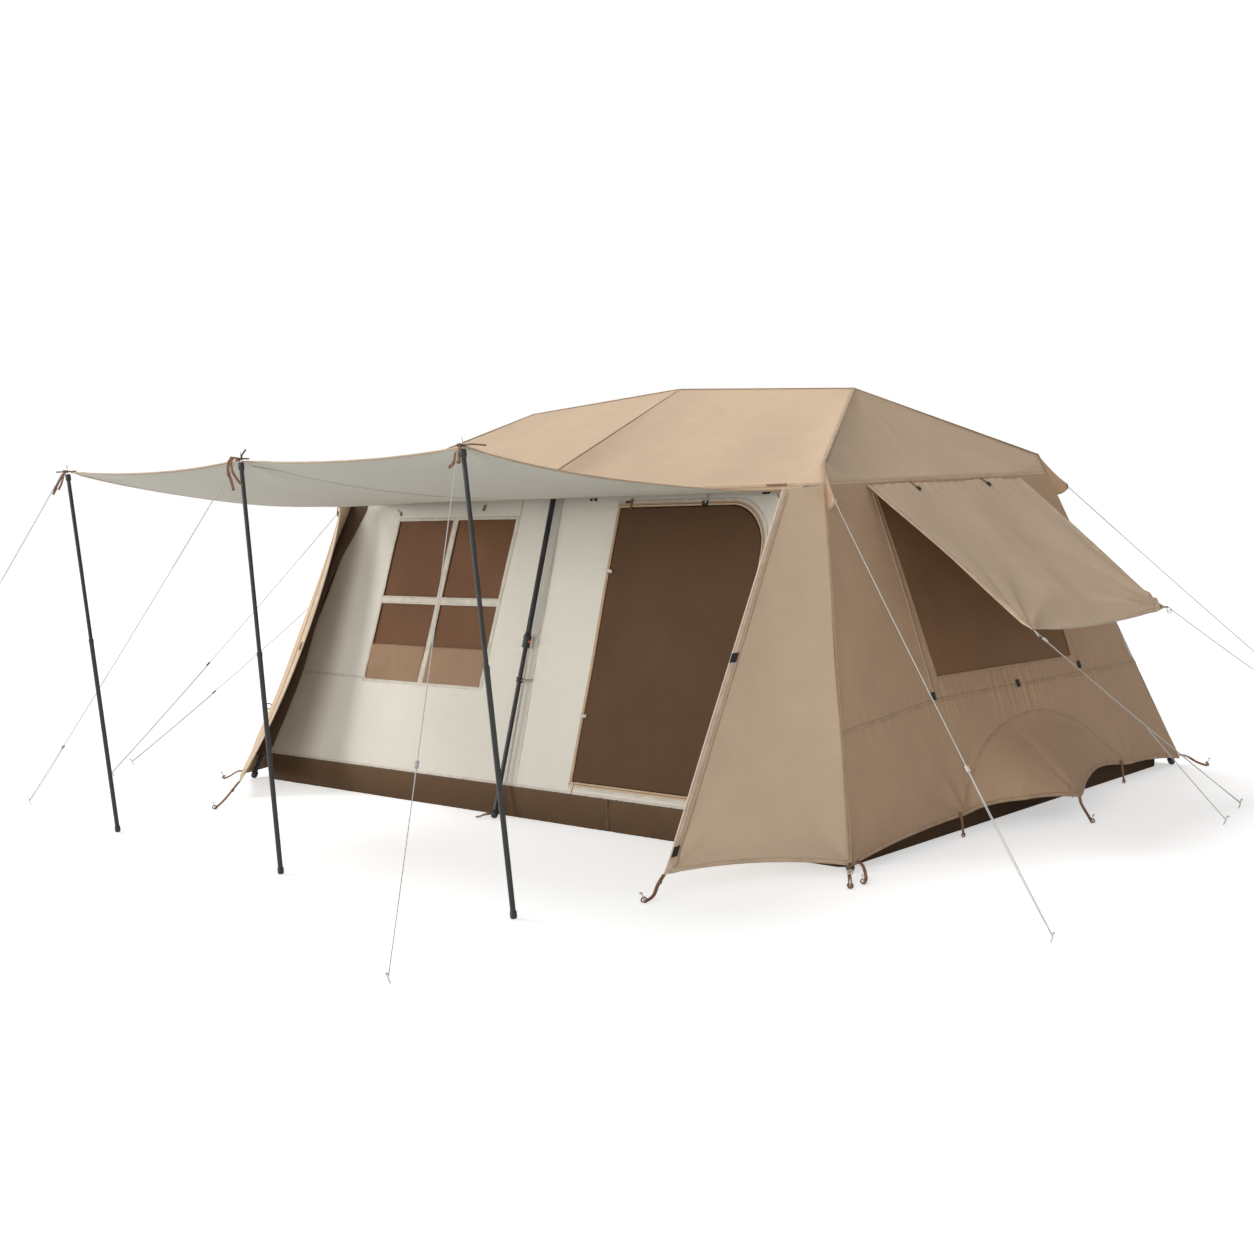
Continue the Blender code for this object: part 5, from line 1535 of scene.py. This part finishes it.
def window_tapes():
    """Each tape leans with the window's skew."""
    low, high = WINDOW_LOW - WINDOW_OFF, WINDOW_HIGH + WINDOW_OFF
    left, right = WINDOW_LEFT - WINDOW_OFF, WINDOW_RIGHT + WINDOW_OFF
    columns = {"left": WINDOW_LEFT - EDGE_OFF, "middle": WINDOW_MID_X, "right": WINDOW_RIGHT + EDGE_OFF}
    rows = {"foot": WINDOW_LOW - EDGE_OFF, "bar": WINDOW_MID_H, "top": WINDOW_HIGH + EDGE_OFF}
    lines = {name: [(skewed(x, low), low), (skewed(x, high), high)] for name, x in columns.items()}
    lines.update({name: [(skewed(left, h), h), (skewed(right, h), h)] for name, h in rows.items()})
    for name, line in lines.items():
        wide = WINDOW_BAR - 0.006 if name in ("middle", "bar") else WINDOW_TAPE
        wall_tape(f"window_tape_{name}", line, wide, cream_seam)


def door_line(off):
    """The door's foot from the hinge side, then its curved side, and its top back to the hinge side."""
    low, high = DOOR_LOW - off, DOOR_HIGH + off
    h = low + (high - low) * (1 - np.cos(np.linspace(0, math.pi, 160))) / 2
    curve = np.stack([door_edge(h, -off), h], -1)
    return np.concatenate([[(DOOR_LEFT - 0.012, low)], curve, [(DOOR_LEFT - 0.012, high)]])


window_tapes()
hinge = [(DOOR_LEFT - 0.0015, DOOR_LOW - 0.01), (DOOR_LEFT - 0.0015, DOOR_HIGH + 0.01)]
wall_tape("door_hinge_tape", hinge, DOOR_TAPE, tan_tape, "tan_binding")
wall_tape("door_zip", door_line(ZIP_OFF), 0.020, zip_tan, "tan_binding", 260)
wall_tape("door_strip", door_line(STRIP_OFF), 0.014, cream_seam, count=260)
for name, line in {
    "knee": [(-1.84, 0.655), (-1.275, 0.651)], "window": [(-0.258, 1.66), (-0.314, 0.641)],
    "leg": [(-0.045, 1.66), (0.004, 0.17)], "door": [(0.038, 1.66), (0.067, 0.17)],
    "foot": [(-2.03, 0.170), (2.03, 0.170)],
}.items():
    wall_tape(f"wall_seam_{name}", line, 0.012, cream_seam, count=120)


def tub_trims():
    """The taped top edge of the tub, and the welded fold in its front."""
    ring = tub_ring(TUB_LEAN, TUB_Z - 0.004)
    shape, out = flat_section(0.012, 0.004, 0.5), unit(ring * (1, 1, 0))
    edge = sweep("tub_top_tape", ring, shape, tub_tape, out=out, ring=True, wide=0.012)
    z = np.linspace(0.008, 0.150, 24)
    line = spots(0.707 + 0.002 * np.sin(z * 60), -TUB_Y - 0.0065, z)
    fold = sweep("tub_fold", line, flat_section(0.010, 0.004, 0.6), tub_tape, out=(0, -1, 0))
    for piece in (edge, fold):
        dress(piece, "tent", "tub_cloth")


tub_tape = cloth_finish("tub_tape", (0.120, 0.078, 0.052), crease=0.002, roughness=0.75, sheen=0.0)
tub_trims()


# Corner tabs. A doubled triangle of fly cloth is sewn into each corner under the eave. Its point takes the
# guy line's loop. Two leather thongs, and a small buckle each, hold the flaps' low corners in the same way.
TAB_HIGH, TAB_LOW, TAB_POINT = 1.685, 1.490, 0.014


def ring(name, middle, axis, radius, bar, finish, slot):
    """A round ring: a circle swept round the axis."""
    axis = unit(np.array(axis, float))
    across = unit(np.cross(axis, (0.1, 0.2, 1.0)))
    turn = np.linspace(0, 2 * math.pi, 24, endpoint=False)[:, None]
    line = np.array(middle) + radius * (np.cos(turn) * across + np.sin(turn) * np.cross(axis, across))
    dress(sweep(name, line, round_section(8) * bar, finish, out=axis, ring=True), "tent", slot)


def corner_tab(name, side, end):
    """A ruled triangle from the corner's line to the tie, slightly dished, with a ring at its point."""
    z = np.linspace(TAB_LOW, TAB_HIGH, 24)
    root = spots(side * (shell_x(z) - 0.004), end * (shell_y(z) - 0.002), z)
    tie = np.array(TIE) * (side, end, 1)
    point = tie + np.linspace(-0.5, 0.5, 24)[:, None] * (0, 0, TAB_POINT)
    share = np.linspace(0, 1, 20)[:: -side * end, None]
    points = between(root[:, None], point[:, None], share) - np.array((0, 0, 0.010)) * arch(share)
    uv, flat = (share[None, :, 0] * 0.12, z[:, None]), (TAB_HIGH - TAB_LOW, 0.11)
    # The tab takes painted_shade_fly: tan cloth darkened by painted shade.
    panel(name, points, painted_shade_fly, uv, "fly_cloth", thick=0.003)
    shape, out = flat_section(0.009, 0.0055, 0.6), (side * 0.5, -end * 0.8, 0.1)
    for edge_name, row in (("low", 0), ("high", -1)):
        rim = sweep(f"{name}_{edge_name}_edge", points[row][:: -side * end], shape, tan_tape, out=out)
        dress(rim, "tent", "tan_binding")
    finish = pale_moulding if name == "corner_tab_front_right" else black_moulding
    middle, axis = tie - unit(tie * (1, 1, 0)) * 0.004, (side * 0.6, end * 0.8, 0.0)
    ring(f"{name}_ring", middle, axis, 0.0085, 0.0022, finish, "black_plastic")


for side_name, side in SIDES:
    for end_name, end in ENDS:
        corner_tab(f"corner_tab_{end_name}_{side_name}", side, end)


# Leather. Ties, loops and ground straps are cut from brown strap leather. The ground straps run from the
# hems and corners to steel stakes.
STRAP_WIDE, STRAP_THICK = 0.016, 0.0034


def strap_leather(name, colour):
    """Oiled leather: fine pebbled grain, soft creases across it and paler, rubbed edges."""
    material, shader, where, uv = start_finish(name, 0.58)
    pebble = where.noise(700, 3)
    crease = uv.noise(90, 3, stretch=(3, 0.4, 1))
    rubbed = where.noise(45, 4).above(0.45, 0.75)
    worn = (rubbed * 0.8 + crease * 0.2).tint(shade(colour, 0.75), shade(colour, 1.35))
    feed(shader, Base_Color=worn, Roughness=rubbed * 0.15 + 0.5)
    feed(shader, Normal=pebble.bump(0.0003, 0.5, crease.bump(0.0008, 0.4)))
    return material


brown_leather = strap_leather("brown_leather", (0.258, 0.125, 0.067))


def strap(name, line, wide, out=(0.3, -0.5, 1), body="tent", finish=brown_leather):
    """A leather strap along a smooth curve through a few points."""
    shape = flat_section(wide, STRAP_THICK, 0.5)
    dress(sweep(name, smooth_line(line, 28), shape, finish, out=out, wide=wide), body, "leather_strap")


def knot(name, middle, way, size=0.020):
    """A half hitch: a short fat barrel with a waist at each end."""
    step = np.linspace(-0.5, 0.5, 9)
    line = np.array(middle) + unit(np.array(way, float)) * (step * size)[:, None]
    girth = np.array([0.5, 0.85, 1.0, 0.92, 1.0, 0.92, 1.0, 0.85, 0.5])
    shape = flat_section(size * 0.9, size * 0.7, 0.8, 14)
    dress(sweep(name, line, shape, brown_leather, scale=girth), "tent", "leather_strap")


def buckle(name, middle, way, size=0.036, body="tent"):
    """A ladder buckle: a flat moulded frame with a bar across it, the strap threaded round the bar."""
    way = unit(np.array(way, float))
    across = unit(np.cross(way, (0, 0, 1.0)))
    square = flat_section(size, size * 0.66, 0.5, 24)
    line = middle + way * square[:, :1] + across * square[:, 1:]
    edge, out = flat_section(0.005, 0.004, 0.7, 8), np.cross(across, way)
    rung = middle + across * np.linspace(-0.3, 0.3, 5)[:, None] * size
    for piece in (
        sweep(name, line, edge, pale_moulding, out=out, ring=True),
        sweep(f"{name}_bar", rung, round_section(8) * 0.0024, pale_moulding, out=way),
    ):
        dress(piece, body, "pale_plastic")


def ground_strap(name, line, wide, buckle_at=None):
    """A strap from the tent to a stake, with the stake, a loop of leather round it and maybe a buckle."""
    strap(name, line, wide)
    first, before, end = (np.array(line[i], float) for i in (0, -2, -1))
    steel_peg(f"{name}_stake", before, end[:2])
    middle, axis = end + (0, 0, 0.011), unit(end - before) * (1, 1, 0) + (0.2, 0.1, 0.9)
    ring(f"{name}_loop", middle, axis, 0.011, 0.0032, brown_leather, "leather_strap")
    if buckle_at:
        buckle(f"{name}_buckle", between(first, end, buckle_at) + (0, 0, 0.006), end - first)


GROUND_STRAPS = {
    "wing_strap_right": (
        WING_TIP[1], (1.746, -2.235, 0.052), (1.768, -2.290, 0.020), (1.763, -2.340, 0.004),
    ),
    "wing_strap_left": (
        WING_TIP[-1], (-1.640, -1.945, 0.066), (-1.560, -2.060, 0.030), (-1.490, -2.170, 0.004),
    ),
    "corner_strap_front_right": (
        (2.160, -1.518, 0.050), (2.200, -1.580, 0.034), (2.262, -1.660, 0.012), (2.300, -1.712, 0.004),
    ),
    "corner_strap_side_right": (
        (2.172, -1.480, 0.052), (2.235, -1.530, 0.048), (2.290, -1.590, 0.018), (2.302, -1.625, 0.004),
    ),
    "corner_strap_front_left": (
        (-2.160, -1.518, 0.052), (-2.205, -1.545, 0.045), (-2.250, -1.570, 0.018), (-2.285, -1.590, 0.004),
    ),
    "corner_strap_back_right": (
        (2.160, 1.512, 0.055), (2.205, 1.520, 0.045), (2.255, 1.528, 0.018), (2.310, 1.532, 0.004),
    ),
    "corner_strap_back_left": (
        (-2.160, 1.512, 0.055), (-2.205, 1.520, 0.045), (-2.255, 1.528, 0.018), (-2.310, 1.532, 0.004),
    ),
}
NARROW_STRAP = 0.014
BUCKLES_AT = {"corner_strap_front_right": 0.42, "corner_strap_back_right": 0.25}
for strap_name, line in GROUND_STRAPS.items():
    wide = NARROW_STRAP if strap_name == "corner_strap_side_right" else STRAP_WIDE
    ground_strap(strap_name, line, wide, BUCKLES_AT.get(strap_name))
knot("wing_knot_right", (1.744, -2.222, 0.058), (0.1, -0.6, -0.5))
knot("wing_knot_left", (-1.625, -1.965, 0.058), (0.4, -0.7, -0.3))


def hem_straps(name, side):
    """The strap that pegs an end wall's vent out, and the loops at the two ends of its scallop."""
    pull = [(2.405, -0.045, 0.108), (2.425, -0.062, 0.075), (2.468, -0.082, 0.030), (2.500, -0.105, 0.005)]
    ground_strap(f"vent_strap_{name}", [(side * x, y, z) for x, y, z in pull], NARROW_STRAP)
    for place_name, y in (("front", -0.664), ("back", 0.862)):
        x, hem = shell_x(0.09), float(hem_height(y))
        line = [
            (side * (x + 0.004), y, hem + 0.022), (side * (x + 0.012), y, hem - 0.012),
            (side * (x + 0.018), y - 0.004, 0.040), (side * (x + 0.022), y - 0.006, 0.012),
        ]
        loop_name, low = f"hem_loop_{place_name}_{name}", (side * (x + 0.022), y - 0.006, 0.014)
        strap(loop_name, line, 0.013, out=(side, -0.3, 0.2))
        ring(f"{loop_name}_end", low, (side, -0.3, 0), 0.009, 0.003, brown_leather, "leather_strap")


def flap_thong(name, side, end):
    """The thong from a flap's corner to its guy line, with a buckle where a guy line is seen."""
    corner, tie = flap_point(end * FLAP_HALF, FLAP_LONG, 0, side), flap_tie(side, end)
    away = unit(tie - corner)
    line, body = [corner - away * 0.022, corner, corner + away * 0.006, tie], f"flap_{SIDES[side > 0][0]}"
    strap(f"flap_thong_{name}", line, 0.012, body=body)
    if name != "back_left":
        down = np.array((side * 0.45, -end * 0.35, -0.82))
        buckle(f"flap_buckle_{name}", tie + unit(down) * 0.020, down, 0.030, body)


LEG_STRAP = (-0.010, -1.535, 0.030), (-0.040, -1.552, 0.022), (-0.075, -1.558, 0.010), (-0.105, -1.548, 0.005)
strap("leg_strap_middle", LEG_STRAP, 0.015)
knot("leg_strap_middle_knot", (-0.022, -1.545, 0.027), (-0.9, -0.3, -0.2), 0.022)
for side_name, side in SIDES:
    hem_straps(side_name, side)
    for end_name, end in ENDS:
        flap_thong(f"{end_name}_{side_name}", side, end)


# Canopy ties. At each pole the canopy's eyelet drops over the spike, over a moulded cap. A leather thong
# goes round the spike, is knotted, and its ends hang down.
HANG = np.array((0.727, 0.687, 0.0))
TIE_TAILS = {
    "left": [(-0.012, 0.004), (-0.030, -0.012), (-0.052, -0.048), (-0.078, -0.100)],
    "middle": [(-0.030, 0.016), (-0.050, 0.002), (-0.057, -0.040), (-0.046, -0.080), (-0.038, -0.122)],
    "right": [(-0.004, 0.000), (-0.026, -0.022), (-0.034, -0.052), (-0.056, -0.072)],
}
TIE_THONGS = {
    "left": [(-0.056, 0.009), (0.0, 0.009), (0.043, 0.010)],
    "middle": [(-0.045, 0.020), (0.0, 0.013), (0.036, 0.010)],
    "right": [(-0.010, 0.005), (0.030, 0.012), (0.088, 0.006)],
}
TIE_KNOTS = {"left": (-0.066, -0.076), "middle": (-0.056, -0.050), "right": (-0.033, -0.050)}


def hang(name, spot):
    """A place beside a pole's head: so far across it and so far up."""
    return np.array(POLE_HEADS[name]) + HANG * spot[0] + np.array((0, 0, spot[1]))


def canopy_tie(name):
    """A pole's thong, its two tails, knot and hitch, the canopy's eyelet and the cap under it."""
    tail = [hang(name, spot) for spot in TIE_TAILS[name]]
    strap(f"canopy_thong_{name}", [hang(name, spot) for spot in TIE_THONGS[name]], 0.013, out=(0.2, -0.4, 1))
    strap(f"canopy_tail_{name}", tail, 0.013, out=(0.687, -0.727, 0.1))
    second = [point + HANG * 0.010 * i + np.array((0.004, -0.004, 0)) for i, point in enumerate(tail)]
    second[-1] = second[-1] + (0, 0, 0.022)
    strap(f"canopy_second_tail_{name}", second, 0.011, out=(0.687, -0.727, 0.1))
    knot(f"canopy_knot_{name}", hang(name, TIE_KNOTS[name]), tail[-1] - tail[0], 0.022)
    knot(f"canopy_hitch_{name}", hang(name, (-0.012, 0.010)), HANG, 0.022)
    head = np.array(POLE_HEADS[name])
    eyelet = head + (0, 0, 0.010)
    ring(f"canopy_eyelet_{name}", eyelet, (0, 0, 1), 0.0105, 0.0028, black_moulding, "black_plastic")
    way = unit(head - np.array(POLE_FEET[name]))
    low_edge, high_edge = rim_of(-0.036, 0.0122, 0.002, -1), rim_of(-0.004, 0.0122, 0.002)
    cap = [*low_edge, (-0.030, 0.0128), (-0.012, 0.0128), *high_edge]
    piece = lathe(f"canopy_pole_cap_{name}", cap, head, head + way, black_moulding, 24)
    dress(piece, "tent", "black_plastic")


def eave_tie(name, x, drop):
    """A short leather tie at the front eave, from one x to another, that droops by drop in the middle."""
    across = np.linspace(*x, 5)
    line = spots(across, eave_front_y(across) - 0.007, 1.604 - drop * arch(np.linspace(0, 1, 5)))
    strap(name, line, 0.010, out=(0, -1, 0.3))


for pole_name in POLE_FEET:
    canopy_tie(pole_name)
eave_tie("eave_tie_left", (-0.93, -0.86), 0.010)
eave_tie("eave_tie_middle", (0.86, 0.93), 0.010)
eave_tie("eave_tie_right", (1.38, 1.49), 0.0)
for side_name, side in SIDES:
    tie = [(side * 1.560, -1.172, 1.583), (side * 1.585, -1.180, 1.562), (side * 1.604, -1.174, 1.530)]
    strap(f"wing_tie_{side_name}", tie, 0.012, out=(side * 0.3, -1, 0.1))
hook = [hang("middle", spot) for spot in ((0.003, 0.012), (0.006, 0.026), (0.016, 0.040), (0.024, 0.050))]
hook_piece = sweep("canopy_hook", smooth_line(hook, 16), round_section(8) * 0.0034, black_moulding)
dress(hook_piece, "tent", "black_plastic")


# Tags and toggles. Black woven tags back the ends of the zips and the pull points. Cream, leather and
# moulded toggles along the eave and the openings hold the canopy, the door and the flaps when rolled.
black_webbing = webbing("black_webbing", (0.016, 0.016, 0.017), (0.035, 0.035, 0.036))


def tag(name, surface, spot, size, finish, slot, face=1, body="tent", lean=(0, 1), thick=0.003, lift=0.0016):
    """A short tab centred on a spot of a surface: its length along lean and its width across that."""
    way = unit(np.array(lean, float)) * size[0] / 2
    line = [np.array(spot) - way, np.array(spot) + way]
    dress(tape(name, surface, line, size[1], finish, thick, lift, 8, face), body, slot)


def side_tags(name, side):
    """The tags at an end window's zips, and the loops and toggles that hold its flap when rolled."""
    for number, spot in enumerate(((-0.603, 0.620), (0.124, 0.596), (0.728, 0.620))):
        place = on_side(end_point, side)
        tag(f"end_tag_{name}_{number}", place, spot, (0.036, 0.030), black_webbing, "black_plastic", side)
    for number, y in enumerate((-0.323, 0.301)):
        place, body, lean = on_side(flap_point, side), f"flap_{name}", (0.35, 1)
        loop, toggle = f"flap_loop_{name}_{number}", f"flap_toggle_{name}_{number}"
        tag(loop, place, (y, 0.018), (0.050, 0.011), brown_leather, "leather_strap", -side, body, lean)
        spot, size = (y + 0.008, 0.042), (0.022, 0.016)
        tag(toggle, place, spot, size, black_moulding, "black_plastic", -side, body, lean, 0.006, 0.004)


for side_name, side in SIDES:
    side_tags(side_name, side)
for number, up in enumerate((0.085, 0.860)):
    place, piece_name = on_side(wing_place, 1), f"wing_tag_right_{number}"
    tag(piece_name, place, (0.013, up), (0.040, 0.034), black_webbing, "black_plastic")
place = on_side(wing_place, -1)
tag("wing_tag_left_0", place, (0.013, 0.762), (0.045, 0.014), brown_leather, "leather_strap", -1)
loop_middle = wing_point(0.30, 0.25, 0.014, -1)
ring("wing_loop_left", loop_middle, (0.6, -0.7, 0.2), 0.016, 0.003, brown_leather, "leather_strap")
WALL_TAGS = {
    "door_toggle_high": ((0.458, 1.274), (0.044, 0.016), cream_tape, "cream_binding", (1, -0.35)),
    "door_toggle_low": ((0.455, 0.547), (0.044, 0.016), cream_tape, "cream_binding", (1, 0.0)),
    "door_hook": ((0.528, 1.612), (0.052, 0.014), brown_leather, "leather_strap", (0.1, 1)),
    "door_hook_bar": ((0.510, 1.622), (0.044, 0.010), black_moulding, "black_plastic", (1, 0.1)),
    "door_loop": ((1.012, 1.632), (0.050, 0.010), cream_tape, "cream_binding", (0.1, 1)),
    "door_buckle": ((1.005, 1.606), (0.024, 0.036), black_moulding, "black_plastic", (0, 1)),
    "wall_dot_left": ((0.245, 1.640), (0.014, 0.014), black_moulding, "black_plastic", (0, 1)),
    "wall_dot_right": ((0.275, 1.640), (0.014, 0.014), black_moulding, "black_plastic", (0, 1)),
    "corner_toggle": ((1.365, 1.648), (0.040, 0.012), black_moulding, "black_plastic", (1, 0.05)),
    "door_foot_loop": ((0.462, 0.196), (0.052, 0.013), cream_tape, "cream_binding", (0.15, 1)),
    "window_toggle": ((-1.262, 1.600), (0.046, 0.016), cream_tape, "cream_binding", (1, -0.6)),
    "window_toggle_end": ((-1.246, 1.590), (0.018, 0.018), black_moulding, "black_plastic", (1, -0.6)),
    "window_hook": ((-0.549, 1.612), (0.034, 0.016), brown_leather, "leather_strap", (0.3, 1)),
}
for tag_name, (spot, size, finish, slot, lean) in WALL_TAGS.items():
    tag(tag_name, wall_point, spot, size, finish, slot, lean=lean, lift=0.004)


def leg_clip():
    """A moulded clip round the middle leg, with the tan tab that ties it to the wall."""
    foot, knuckle = legs["front_middle"]
    low = 0.690
    form = [
        *rim_of(low, 0.0175, 0.002, -1), (low + 0.008, 0.0175), (low + 0.010, 0.0155), (low + 0.016, 0.0155),
        (low + 0.018, 0.0175), *rim_of(low + 0.026, 0.0175, 0.002),
    ]
    dress(lathe("leg_clip", form, foot, knuckle, black_moulding), "tent", "black_plastic")
    middle = foot + unit(knuckle - foot) * (low + 0.013) + (0.016, 0, 0)
    root = wall_point(0.062, middle[2] / WALL_RISE)
    line = [middle, between(middle, root, 0.5) + (0, -0.006, 0), root]
    strap("leg_clip_tab", line, 0.014, out=(0, -0.3, 1), finish=tan_tape)


leg_clip()
